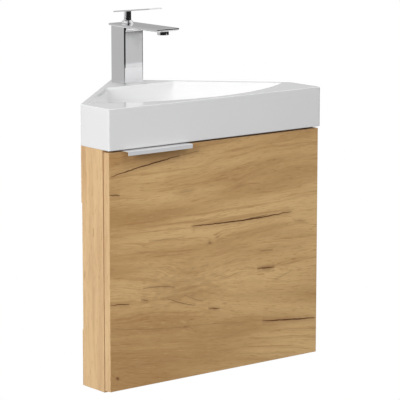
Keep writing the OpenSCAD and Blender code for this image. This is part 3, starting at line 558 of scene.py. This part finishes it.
def noEdge(a, b):
    return False


def longEdge(least):
    return lambda a, b: (a - b).length > least


# Edges that lie on a ring of this radius round an upright axis, at one of the given heights
def ringEdge(centre, radius, heights):
    def test(a, b):
        for end in (a, b):
            if abs(math.hypot(end.x - centre[0], end.y - centre[1]) - radius) > near["ring"]:
                return False
            if min(abs(end.z - height) for height in heights) > near["level"]:
                return False
        return abs(a.z - b.z) < near["level"]
    return test


# Edges that lie on the outside of the node's box, on two of its sides at once
def outerEdge(node, least):
    low, high = [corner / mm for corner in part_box(node)]

    def test(a, b):
        limits = [(i, limit) for i in range(3) for limit in (low[i], high[i])]
        sides = sum(max(abs(a[i] - limit), abs(b[i] - limit)) < near["level"] for i, limit in limits)
        return sides >= 2 and (a - b).length >= least
    return test


# Geometry Nodes: threads and screws

def newTree(name, inputs):
    tree = bpy.data.node_groups.new(name, "GeometryNodeTree")
    addSocket(tree, "Geometry", "INPUT", "Geometry")
    addInputs(tree, inputs)
    addSocket(tree, "Finish", "INPUT", "Material")
    addSocket(tree, "Geometry", "OUTPUT", "Geometry")
    return tree, tree.nodes.new("NodeGroupInput").outputs


def finishTree(tree, given, geometry):
    real = addNode(tree, "GeometryNodeRealizeInstances", {0: geometry})
    paint = addNode(tree, "GeometryNodeSetMaterial", {
        "Geometry": real.outputs[0], "Material": given["Finish"]})
    addNode(tree, "NodeGroupOutput", {"Geometry": paint.outputs[0]})
    return tree


def treePiece(name, mesh, steps):
    holder = putIn(name + "Work", mesh)
    for tree, values in steps:
        modifier = holder.modifiers.new(tree.name, "NODES")
        modifier.node_group = tree
        for item in tree.interface.items_tree:
            if item.in_out == "INPUT" and item.name in values:
                modifier[item.identifier] = values[item.name]
    out = bakePiece(holder, name)
    smoothShade(out, 32)
    print("tree piece", name, len(out.polygons), "faces")
    return out


# A ridge that winds round an upright rod
def buildThreadTree():
    tree, given = newTree("threadRidge", {
        "Root Radius": 0.0198, "Depth": 0.0011, "Pitch": 0.0023, "Length": 0.03, "Place": (0, 0, 0)})
    spiral = addNode(tree, "GeometryNodeCurveSpiral", {
        "Resolution": 40, "Rotations": calc(tree, "DIVIDE", given["Length"], given["Pitch"]),
        "Start Radius": given["Root Radius"], "End Radius": given["Root Radius"], "Height": given["Length"]})
    level = addNode(tree, "GeometryNodeSetCurveNormal", {"Curve": spiral.outputs[0]}, mode="Z_UP")
    profile = addNode(tree, "GeometryNodeCurvePrimitiveCircle", {"Resolution": 4, "Radius": given["Depth"]})
    sweep = addNode(tree, "GeometryNodeCurveToMesh", {
        "Curve": level.outputs[0], "Profile Curve": profile.outputs[0], "Fill Caps": True})
    placed = addNode(tree, "GeometryNodeTransform", {
        "Geometry": sweep.outputs[0], "Translation": given["Place"]})
    both = addNode(tree, "GeometryNodeJoinGeometry", {0: placed.outputs[0]})
    tree.links.new(given["Geometry"], both.inputs[0])
    return finishTree(tree, given, both.outputs[0])


screwShape = {"around": 28, "domeTop": 0.84, "crossReach": 1.15}  # the last two count in head radii


# A screw with a cross in its head on every point, turned by the point's own "facing"
def buildScrewTree():
    tree, given = newTree("crossScrews", {
        "Head Radius": 0.004, "Seat Radius": 0.004, "Head Height": 0.002, "Dome": 0.3, "Shank Radius": 0.002,
        "Shank Length": 0.012, "Cross Width": 0.0009, "Cross Depth": 0.001})

    def lift(geometry, height):
        offset = addNode(tree, "ShaderNodeCombineXYZ", {"Z": height}).outputs[0]
        return addNode(tree, "GeometryNodeTransform", {
            "Geometry": geometry, "Translation": offset}).outputs[0]

    def cone(top, bottom, depth):
        return addNode(tree, "GeometryNodeMeshCone", {
            "Vertices": screwShape["around"], "Radius Top": top, "Radius Bottom": bottom,
            "Depth": depth}).outputs["Mesh"]

    height, radius = given["Head Height"], given["Head Radius"]
    shankRadius, shankLength = given["Shank Radius"], given["Shank Length"]
    domed = calc(tree, "MULTIPLY", height, given["Dome"])
    straight = calc(tree, "SUBTRACT", height, domed)
    head = cone(radius, given["Seat Radius"], straight)
    dome = lift(cone(calc(tree, "MULTIPLY", radius, screwShape["domeTop"]), radius, domed), straight)
    shank = lift(cone(shankRadius, shankRadius, shankLength), calc(tree, "MULTIPLY", shankLength, -1.0))
    whole = addNode(tree, "GeometryNodeMeshBoolean", operation="UNION", solver="EXACT")
    for part in (head, dome, shank):
        tree.links.new(part, whole.inputs["Mesh 2"])
    arm = calc(tree, "MULTIPLY", radius, screwShape["crossReach"])
    width = given["Cross Width"]
    deep = calc(tree, "MULTIPLY", given["Cross Depth"], 2.0)
    carved = addNode(tree, "GeometryNodeMeshBoolean", {"Mesh 1": whole.outputs["Mesh"]},
                     operation="DIFFERENCE", solver="EXACT")
    for x, y in ((arm, width), (width, arm)):
        size = addNode(tree, "ShaderNodeCombineXYZ", {"X": x, "Y": y, "Z": deep}).outputs[0]
        bar = addNode(tree, "GeometryNodeMeshCube", {"Size": size}).outputs["Mesh"]
        tree.links.new(lift(bar, height), carved.inputs["Mesh 2"])
    facing = addNode(tree, "GeometryNodeInputNamedAttribute", {"Name": "facing"}, data_type="FLOAT_VECTOR")
    turn = addNode(tree, "FunctionNodeEulerToRotation", {0: facing.outputs[0]})
    spread = addNode(tree, "GeometryNodeInstanceOnPoints", {
        "Points": given["Geometry"], "Instance": carved.outputs["Mesh"], "Rotation": turn.outputs[0]})
    return finishTree(tree, given, spread.outputs[0])


threadTree = buildThreadTree()
screwTree = buildScrewTree()


# Basin: rings of points round the waste, joined from the floor over the rim and back below. All in mm

basinSizes = {
    "centre": (0.0, -200.5), "width": 480, "front": 324.5, "height": 505, "foot": 432, "edge": 2.4,
    "rimWall": 11.5, "rimFront": 17.5, "frontArc": 375.0, "back": 94.5, "apron": 11.0, "shell": 9.0,
    "outerEdge": 1.3, "footEdge": 1.0, "platform": 14.0, "sideSlope": 0.38, "backSlope": 0.10,
    "frontSlope": 0.30, "floor": 449.0, "wallDepth": 34.0, "floorRim": 52.0, "fillet": 22.0,
    "wasteFlat": 36.0, "wasteHole": 22.45, "wasteChamfer": (0.6, 1.0), "wasteSeat": 44.0,
    "bowlCorner": (221, 236), "backGap": 1.4,
    # how rounded the outline's corners are, seen from above
    "footRound": 8.0, "wallRound": 5.0, "rimRound": 1.3, "outerRound": 1.0, "apronRound": 2.0,
    "backRound": 10.0,
    # points round the waste, and more of them near each corner, in degrees from it
    "around": 288, "cornerSteps": (0, 0.12, 0.25, 0.4, 0.6, 0.85, 1.15, 1.5, 2.0, 2.8), "farthest": 420.0,
    # rings: shares of the way over the floor, then counts over the fillet, the wall and the two rim edges
    "floorSteps": (0.06, 0.14, 0.25, 0.38, 0.52, 0.66, 0.8, 0.92), "filletRings": 13, "wallRings": 9,
    "bowlEdgeRings": 6, "outerEdgeRings": 7,
    # depth under the rim and how much closer to the bowl the underside gets there
    "backSteps": ((16.0, 0.5), (26, 1), (34, 3), (42, 7), (50, 14), (57, 24), (62, 34)),
    "tapHole": 17.5, "tapAt": (0, -53.5, 495), "tapDrill": 60,
}


def basinWays(s):
    cx, cy = s["centre"]
    half, (bowlX, bowlY) = s["width"] / 2, s["bowlCorner"]
    backEnd = s["back"] - s["rimWall"] * math.sqrt(2)
    corners = [(-half, -s["front"]), (half, -s["front"]), (half, -half), (0, 0), (-half, -half),
               (-bowlX, -bowlY), (bowlX, -bowlY), (-backEnd, -s["back"]), (backEnd, -s["back"])]
    angles = set(np.round(np.linspace(-180, 180, s["around"] + 1)[:-1], 4))
    for x, y in corners:
        mid = math.degrees(math.atan2(y - cy, x - cx))
        for step in s["cornerSteps"]:
            for sign in (-1, 1):
                angles.add(round((mid + sign * step + 180) % 360 - 180, 4))
    angles = np.radians(np.array(sorted(angles)))
    return np.stack([np.cos(angles), np.sin(angles)])


# Each side of an outline gives how far a point lies past it
def outerSides(s):
    half = s["width"] / 2
    return lambda x, y: np.stack([-y - s["front"], -x - half, x - half, (x + y) / math.sqrt(2),
                                  (y - x) / math.sqrt(2)])


def bowlSides(s, depth):
    arcY = -s["front"] + s["rimFront"] + s["frontArc"]
    wall = s["rimWall"] + s["sideSlope"] * depth
    return lambda x, y: np.stack([np.hypot(x, y - arcY) - s["frontArc"] + s["frontSlope"] * depth,
                                  (x + y) / math.sqrt(2) + wall, (y - x) / math.sqrt(2) + wall,
                                  y + s["back"] + s["backSlope"] * depth])


# How far each way runs from the waste to the outline drawn in by inset, found by halving
def reach(s, ways, sides, inset, roundness):
    low, high = np.zeros(ways.shape[1]), np.full(ways.shape[1], s["farthest"])
    for _ in range(44):
        mid = (low + high) / 2
        past = sides(s["centre"][0] + ways[0] * mid, s["centre"][1] + ways[1] * mid) + inset
        top = past.max(axis=0)
        value = top + roundness * np.log(np.exp((past - top) / roundness).sum(axis=0))
        low, high = np.where(value < 0, mid, low), np.where(value < 0, high, mid)
    return low


# A ring is how far each way runs, and a height
def bowlRings(s, ways):
    top, edge, wall, floor = s["height"], s["edge"], s["wallDepth"], s["floor"]
    rimZ, (wider, deeper) = top - s["floorRim"], s["wasteChamfer"]
    rings = [(s["wasteHole"], floor - deeper), (s["wasteHole"] + wider, floor), (s["wasteFlat"], floor)]
    foot = reach(s, ways, bowlSides(s, wall), s["fillet"], s["footRound"])
    for t in s["floorSteps"]:
        ease = t * t * (3 - 2 * t) * 0.35 + t * 0.65  # flat at the waste, steeper to the wall
        rings.append((s["wasteFlat"] + (foot - s["wasteFlat"]) * t, floor + (rimZ - floor) * ease))
    for step in np.linspace(0, 90, s["filletRings"]):
        a = math.radians(step)
        roundness = s["footRound"] - (s["footRound"] - s["wallRound"]) * step / 90
        rings.append((reach(s, ways, bowlSides(s, wall), s["fillet"] * (1 - math.sin(a)), roundness),
                      top - wall - (top - wall - rimZ) * math.cos(a)))
    for depth in np.linspace(wall, edge, s["wallRings"])[1:]:
        roundness = s["rimRound"] + (s["wallRound"] - s["rimRound"]) * (depth / wall) ** 1.6
        rings.append((reach(s, ways, bowlSides(s, depth), 0.0, roundness), top - depth))
    for step in np.linspace(75, 0, s["bowlEdgeRings"]):
        a = math.radians(step)
        rings.append((reach(s, ways, bowlSides(s, 0), edge * math.sin(a) - edge, s["rimRound"]),
                      top - edge * (1 - math.cos(a))))
    return rings


def rimRings(s, ways):
    top, foot, turned, footEdge = s["height"], s["foot"], s["outerEdge"], s["footEdge"]
    inner = reach(s, ways, bowlSides(s, 0), -s["edge"], s["rimRound"])

    def outer(inset):
        return reach(s, ways, outerSides(s), inset, s["outerRound"])

    rings = [(inner + (outer(turned) - inner) * share, top) for share in (0.12, 0.88)]
    for step in np.linspace(0, 90, s["outerEdgeRings"]):
        a = math.radians(step)
        rings.append((outer(turned * (1 - math.sin(a))), top - turned * (1 - math.cos(a))))
    rings += [(outer(0.0), top - turned - 1.5), (outer(0.0), foot + 2.5)]
    for step in (0, 45, 90):
        a = math.radians(step)
        rings.append((outer(footEdge * (1 - math.cos(a))), foot + footEdge * (1 - math.sin(a))))
    return rings


def underRings(s, ways):
    top, foot, platform, footEdge = s["height"], s["foot"], s["platform"], s["footEdge"]
    under, (wider, deeper) = s["floor"] - s["shell"], s["wasteChamfer"]
    inner = reach(s, ways, outerSides(s), s["apron"], s["apronRound"])
    lip = reach(s, ways, outerSides(s), s["apron"] - footEdge, s["apronRound"])
    rings = [(lip, foot), (inner, foot + footEdge), (inner, top - platform - 1.0),
             (inner - 1.0, top - platform)]
    for depth, closer in ((platform, 0), *s["backSteps"]):
        sides = bowlSides(s, min(depth, s["wallDepth"]))
        behind = reach(s, ways, sides, closer - s["shell"], s["backRound"])
        rings.append((np.minimum(behind, inner - s["backGap"]), top - depth))
    rings += [(s["wasteSeat"], under), (s["wasteHole"] + wider, under), (s["wasteHole"], under + deeper)]
    return rings


def basinMesh(s):
    ways = basinWays(s)
    around = ways.shape[1]
    rings = bowlRings(s, ways) + rimRings(s, ways) + underRings(s, ways)
    points = [np.stack([s["centre"][0] + ways[0] * radii, s["centre"][1] + ways[1] * radii,
                        np.full(around, z)], axis=1) for radii, z in rings]
    faces = []
    for r in range(len(rings)):
        here, there = r * around, (r + 1) % len(rings) * around
        for k in range(around):
            n = (k + 1) % around
            faces.append((here + k, there + k, there + n, here + n))
    mesh = bpy.data.meshes.new("basinShell")
    mesh.from_pydata((np.concatenate(points) * mm).tolist(), [], faces)
    work = bmesh.new()
    work.from_mesh(mesh)
    bmesh.ops.recalc_face_normals(work, faces=work.faces)
    finishWork(work, mesh)
    return mesh


def buildBasin(s):
    shell = putIn("basinWork", basinMesh(s))
    work = bmesh.new()
    bmesh.ops.create_cone(work, cap_ends=True, segments=96, radius1=s["tapHole"] * mm,
                          radius2=s["tapHole"] * mm, depth=s["tapDrill"] * mm,
                          matrix=Matrix.Translation(Vector(s["tapAt"]) * mm))
    drillMesh = bpy.data.meshes.new("tapHoleDrill")
    finishWork(work, drillMesh)
    drill = putIn("tapHoleDrill", drillMesh)
    cut = shell.modifiers.new("tapHole", "BOOLEAN")
    cut.operation = "DIFFERENCE"
    cut.object = drill
    cut.solver = "EXACT"
    cast = bakePiece(shell, "basinCast")
    bpy.data.objects.remove(drill)
    smoothShade(cast, 50)
    return cast


basinCast = buildBasin(basinSizes)
linkPiece("basinCast", "basin", basinCast, plain["basinWhite"])
print("basin built,", len(basinCast.polygons), "faces")


# Tap

# Edge is how much is taken off an edge, and Least the shortest edge that it is taken off, in mm
tapSizes = {
    "spoutEdge": 0.4, "spoutLeast": 18, "leverEdge": 0.45, "leverLeast": 2.3,
    "collarEdge": 0.3, "collarAt": (0, -53.5), "collarRadius": 12.5, "collarHeights": (615.5, 616.1),
    "aeratorEdge": 0.4, "aeratorAt": (0, -162.8), "aeratorRadius": 10.5, "aeratorHeights": (603.0, 610.0),
}


def buildTap(s):
    softPiece("tapColumn", "tap_body", 0.0, noEdge)  # its corners are round in the CAD
    softPiece("tapSpout", "tap_spout", s["spoutEdge"], longEdge(s["spoutLeast"]))
    softPiece("tapLever", "lever", s["leverEdge"], longEdge(s["leverLeast"]))
    collarRing = ringEdge(s["collarAt"], s["collarRadius"], s["collarHeights"])
    softPiece("tapCollar", "tap_collar", s["collarEdge"], collarRing, clamp=True)
    aeratorRing = ringEdge(s["aeratorAt"], s["aeratorRadius"], s["aeratorHeights"])
    softPiece("aeratorShell", "aerator_shell", s["aeratorEdge"], aeratorRing, clamp=True)


buildTap(tapSizes)
print("tap built")


# Threads on the waste's tail and on the tap's stud, then the waste's cap and nut

# span is the stretch of the CAD rod that is drawn in from its own radius to make room for the ridge
threadRods = {
    "wasteTail": {"node": "waste_body", "at": (0, -200.5), "span": (367, 440.1), "radius": 20.95,
                  "rootRadius": 19.85, "depth": 1.1, "pitch": 2.309,
                  "runs": ((368.4, 403.9), (408.7, 423.9))},
    "tapStud": {"node": "tap_stud", "at": (0, -43.5), "span": (449, 477.5), "radius": 4.0,
                "rootRadius": 3.4, "depth": 0.6, "pitch": 1.25, "runs": ((449.8, 476.5),)},
}
wasteSizes = {"capEdge": 1.2, "capRadius": 31.5, "capHeights": (454.6, 458.6), "nutEdge": 0.9, "nutLeast": 15}


def slimRod(rod):
    mesh, work = mergedCopy(rod["node"])
    (cx, cy), (low, high) = rod["at"], rod["span"]
    for vert in work.verts:
        x, y, z = vert.co / mm - Vector((cx, cy, 0))
        inSpan = low - near["level"] <= z <= high + near["level"]
        if inSpan and abs(math.hypot(x, y) - rod["radius"]) < near["ring"]:
            share = rod["rootRadius"] / rod["radius"]
            vert.co = Vector((cx + x * share, cy + y * share, z)) * mm
    finishWork(work, mesh)
    return mesh


def threadPiece(name, rod):
    material = materialOf[rod["node"]]
    steps = []
    for low, high in rod["runs"]:
        steps.append((threadTree, {
            "Root Radius": rod["rootRadius"] * mm, "Depth": rod["depth"] * mm, "Pitch": rod["pitch"] * mm,
            "Length": (high - low) * mm, "Place": (rod["at"][0] * mm, rod["at"][1] * mm, low * mm),
            "Finish": material}))
    linkPiece(name, rod["node"], treePiece(name, slimRod(rod), steps), material)


for name, rod in threadRods.items():
    threadPiece(name, rod)
capRing = ringEdge(threadRods["wasteTail"]["at"], wasteSizes["capRadius"], wasteSizes["capHeights"])
softPiece("wastePlug", "waste_plug", wasteSizes["capEdge"], capRing, 4)
softPiece("wasteNut", "waste_nut", wasteSizes["nutEdge"], longEdge(wasteSizes["nutLeast"]), clamp=True)
print("waste built")


# Boards, door and pull

# with Edge and Least as for the tap
boardSizes = {"panelEdge": 0.5, "doorEdge": 0.7, "pullEdge": 0.5, "least": 12, "railLeast": 80,
              "pullLeast": 1.5}
softPiece("doorEdgeBand", "door_edge_bands", boardSizes["doorEdge"],
          outerEdge("door_edge_bands", boardSizes["least"]))
softPiece("edgePull", "handle", boardSizes["pullEdge"], longEdge(boardSizes["pullLeast"]))
for board in ("side_left", "side_right", *flatBoards):
    softPiece(board + "Board", board, boardSizes["panelEdge"], outerEdge(board, boardSizes["least"]))
for rail in rails:
    softPiece(rail + "Board", rail, boardSizes["panelEdge"], longEdge(boardSizes["railLeast"]))
print("door and pull built")


# Hinges, and the screws of the hinges, the pull and the rails

# how much is taken off an edge, and the shortest edge that it is taken off
hingeEdges = {"plate": (0.5, 6.0), "arm": (0.6, 6.0), "cup": (0.5, 11.0)}
for level in ("upper", "lower"):
    for part, (radius, least) in hingeEdges.items():
        softPiece("hinge" + part.capitalize() + level.capitalize(), "hinge_{}_{}".format(part, level),
                  radius, longEdge(least), clamp=True)

hingeHeights = (84.0, 348.5)
railHeights = (20, 82, 350, 412)
slant = 0.7071  # the walls lie at half a right angle to the front
intoFront, intoSide, intoWall = (0, 1, 0), (-1, 0, 0), (-slant, slant, 0)
cornerScrew = (-5.303 + 3 * slant, -6.010 - 3 * slant)  # its head is sunk 3 mm into the rail
# each set's sizes, and where each screw's seat lies and the way its head faces
screwSets = {
    "hinge_cup_screws": (
        {"Head Radius": 3.2, "Seat Radius": 3.2, "Head Height": 1.2, "Dome": 0.4, "Shank Radius": 1.75,
         "Shank Length": 12.0, "Cross Width": 0.9, "Cross Depth": 0.9},
        [((213.5, -304.0, z + s * 24), intoFront) for z in hingeHeights for s in (-1, 1)]),
    "hinge_plate_screws": (
        {"Head Radius": 3.6, "Seat Radius": 3.6, "Head Height": 1.5, "Dome": 0.4, "Shank Radius": 2.0,
         "Shank Length": 12.5, "Cross Width": 1.0, "Cross Depth": 1.0},
        [((219.0, -266.0, z + s * 16), intoSide) for z in hingeHeights for s in (-1, 1)]),
    "hinge_arm_screws": (
        {"Head Radius": 4.5, "Seat Radius": 4.5, "Head Height": 2.0, "Dome": 0.3, "Shank Radius": 3.0,
         "Shank Length": 7.0, "Cross Width": 1.2, "Cross Depth": 1.3},
        [((215.0, -261.0, z), intoSide) for z in hingeHeights]),
    "handle_screws": (
        {"Head Radius": 3.0, "Seat Radius": 1.5, "Head Height": 1.5, "Dome": 0.05, "Shank Radius": 1.5,
         "Shank Length": 11.5, "Cross Width": 0.8, "Cross Depth": 0.9},
        [((x, -306.5, 416.0), intoFront) for x in (-187.0, -87.0)]),
    "rail_screws": (
        {"Head Radius": 4.0, "Seat Radius": 4.0, "Head Height": 3.0, "Dome": 0.15, "Shank Radius": 2.0,
         "Shank Length": 47.0, "Cross Width": 1.1, "Cross Depth": 1.6},
        [((x, -237.0, z), intoFront) for x in (-229.0, 229.0) for z in railHeights]
        + [((*cornerScrew, z), intoWall) for z in railHeights]),
}


def screwPiece(node, sizes, places):
    name = "".join(word.capitalize() if i else word for i, word in enumerate(node.split("_")))
    mesh = bpy.data.meshes.new(name + "Points")
    mesh.from_pydata([[c * mm for c in spot] for spot, way in places], [], [])
    layer = mesh.attributes.new("facing", "FLOAT_VECTOR", "POINT")
    for item, (spot, way) in zip(layer.data, places):
        item.vector = Vector(way).to_track_quat("Z", "X").to_euler()
    values = {key: value if key == "Dome" else value * mm for key, value in sizes.items()}
    values["Finish"] = materialOf[node]
    linkPiece(name, node, treePiece(name, mesh, [(screwTree, values)]), materialOf[node])


for node, (sizes, places) in screwSets.items():
    screwPiece(node, sizes, places)
print("hinges and screws built")


# Camera, from the straight edges of the photograph

cameraSet = {"turn": 37.7, "drop": 10.39, "distance": 4.16219, "aim": (0.0, -0.2245, 0.305), "lens": 205.36,
             "shift": (0.0400, 0.0016), "roll": -0.08}


def buildCamera(s):
    turn, drop, roll = (math.radians(s[key]) for key in ("turn", "drop", "roll"))
    ahead = Vector((math.sin(turn) * math.cos(drop), math.cos(turn) * math.cos(drop), -math.sin(drop)))
    right = Vector((math.cos(turn), -math.sin(turn), 0))
    upward = right.cross(ahead)
    rolledRight = right * math.cos(roll) + upward * math.sin(roll)
    rolledUp = upward * math.cos(roll) - right * math.sin(roll)
    data = bpy.data.cameras.new("photoCamera")
    data.lens = s["lens"]
    data.sensor_width = 36
    data.shift_x, data.shift_y = s["shift"]
    data.clip_end = 60
    camera = putIn("photoCamera", data)
    basis = Matrix((rolledRight, rolledUp, -ahead)).transposed().to_4x4()
    camera.matrix_world = Matrix.Translation(Vector(s["aim"]) - ahead * s["distance"]) @ basis
    bpy.context.scene.camera = camera


buildCamera(cameraSet)


# Light

lampSet = {
    "aim": (0, -0.2, 0.35), "sky": 0.39,
    "lamps": {"left": {"at": (-3.15, -1.45, 1.55), "size": 1.5, "watts": 78.0},
              "above": {"at": (0.2, -1.9, 2.6), "size": 1.6, "watts": 17.0},
              "rear": {"at": (0.9, 2.5, 1.5), "size": 1.6, "watts": 60.0}},
}


# 1 for rays that come straight from the camera, off metal or through glass
def seenRays(tree):
    rays = addNode(tree, "ShaderNodeLightPath").outputs
    straight = calc(tree, "MAXIMUM", rays["Is Camera Ray"], rays["Is Glossy Ray"])
    return calc(tree, "MAXIMUM", straight, rays["Is Transmission Ray"])


def buildSky(strength):
    world = bpy.data.worlds.new("studio")
    bpy.context.scene.world = world
    world.use_nodes = True
    sky = world.node_tree
    sky.nodes.clear()
    white = addNode(sky, "ShaderNodeBackground", {"Color": (1, 1, 1, 1), "Strength": 1.0})
    soft = addNode(sky, "ShaderNodeBackground", {"Color": (1, 1, 1, 1), "Strength": strength})
    both = addNode(sky, "ShaderNodeMixShader", {0: seenRays(sky), 1: soft.outputs[0], 2: white.outputs[0]})
    addNode(sky, "ShaderNodeOutputWorld", {"Surface": both.outputs[0]})


def buildLamp(label, lamp, aim):
    data = bpy.data.lights.new(label + "Softbox", "AREA")
    data.shape = "SQUARE"
    data.size = lamp["size"]
    data.energy = lamp["watts"]
    softbox = putIn(label + "Softbox", data)
    softbox.location = lamp["at"]
    softbox.rotation_euler = (Vector(aim) - softbox.location).to_track_quat("-Z", "Y").to_euler()
    softbox.visible_glossy = False


buildSky(lampSet["sky"])
for label, lamp in lampSet["lamps"].items():
    buildLamp(label, lamp, lampSet["aim"])


# Stage: a pale floor, and reflector cards that only the metal sees

def stageMesh(name, points, faces, material):
    mesh = bpy.data.meshes.new(name)
    mesh.from_pydata(points, [], faces)
    mesh.materials.append(material)
    thing = putIn(name, mesh)
    return thing


floorSet = {"drop": 0.55, "half": 9, "shade": 0.30, "roughness": 0.9}


# White to look at, greyer for the light that it throws up, and clear from below
def floorMaterial(s):
    material, tree, shader = newMaterial("paleFloor")
    shader.inputs["Base Color"].default_value = (s["shade"], s["shade"], s["shade"], 1)
    shader.inputs["Roughness"].default_value = s["roughness"]
    glow = addNode(tree, "ShaderNodeEmission", {"Color": (1, 1, 1, 1), "Strength": 1.0})
    upper = addNode(tree, "ShaderNodeMixShader", {
        0: seenRays(tree), 1: shader.outputs[0], 2: glow.outputs[0]})
    clear = addNode(tree, "ShaderNodeBsdfTransparent")
    below = addNode(tree, "ShaderNodeNewGeometry").outputs["Backfacing"]
    both = addNode(tree, "ShaderNodeMixShader", {0: below, 1: upper.outputs[0], 2: clear.outputs[0]})
    tree.links.new(both.outputs[0], tree.nodes["Material Output"].inputs["Surface"])
    return material


half, level = floorSet["half"], -floorSet["drop"]
stageMesh("floor", [(-half, -half, level), (half, -half, level), (half, half, level), (-half, half, level)],
          [(0, 1, 2, 3)], floorMaterial(floorSet))


# Each card's finish, its heights in metres, and the angles it stands between, clockwise from the back
cardSet = {
    "radius": 4.0, "step": 3,
    "glow": {"backCard": 0.44, "leftCard": 0.585, "rightCard": 0.667, "darkCard": 0.02},
    "cards": {"backCard": ("backCard", 0.5, 2.4, -20, 80),
              "leftCard": ("leftCard", -0.54, 5.0, 275, 340),
              "rightCard": ("rightCard", -0.54, 0.174, 134, 157),
              "darkTip": ("darkCard", 0.174, 0.5, 134, 157),
              "darkCamera": ("darkCard", -0.54, 5.0, 157, 275),
              "darkRight": ("darkCard", -0.54, 0.5, 38, 134)},
}


def cardMaterial(name, strength):
    material, tree, shader = newMaterial(name)
    tree.nodes.remove(shader)
    glow = addNode(tree, "ShaderNodeEmission", {"Color": (1, 1, 1, 1), "Strength": strength})
    tree.links.new(glow.outputs[0], tree.nodes["Material Output"].inputs["Surface"])
    return material


def ringCard(name, material, low, high, start, end):
    steps = max(2, int(abs(end - start) / cardSet["step"]))
    points = []
    for i in range(steps + 1):
        a = math.radians(start + (end - start) * i / steps)
        x, y = cardSet["radius"] * math.sin(a), cardSet["radius"] * math.cos(a)
        points += [(x, y, low), (x, y, high)]
    faces = [(2 * i, 2 * i + 2, 2 * i + 3, 2 * i + 1) for i in range(steps)]
    card = stageMesh(name, points, faces, material)
    card.visible_camera = False
    card.visible_diffuse = False
    card.visible_transmission = False
    card.visible_shadow = False
    card.visible_volume_scatter = False


cardFinish = {name: cardMaterial(name, strength) for name, strength in cardSet["glow"].items()}
for name, (finish, *limits) in cardSet["cards"].items():
    ringCard(name, cardFinish[finish], *limits)
print("camera and light set")

bpy.context.scene.view_settings.view_transform = "Standard"
bpy.context.view_layer.update()
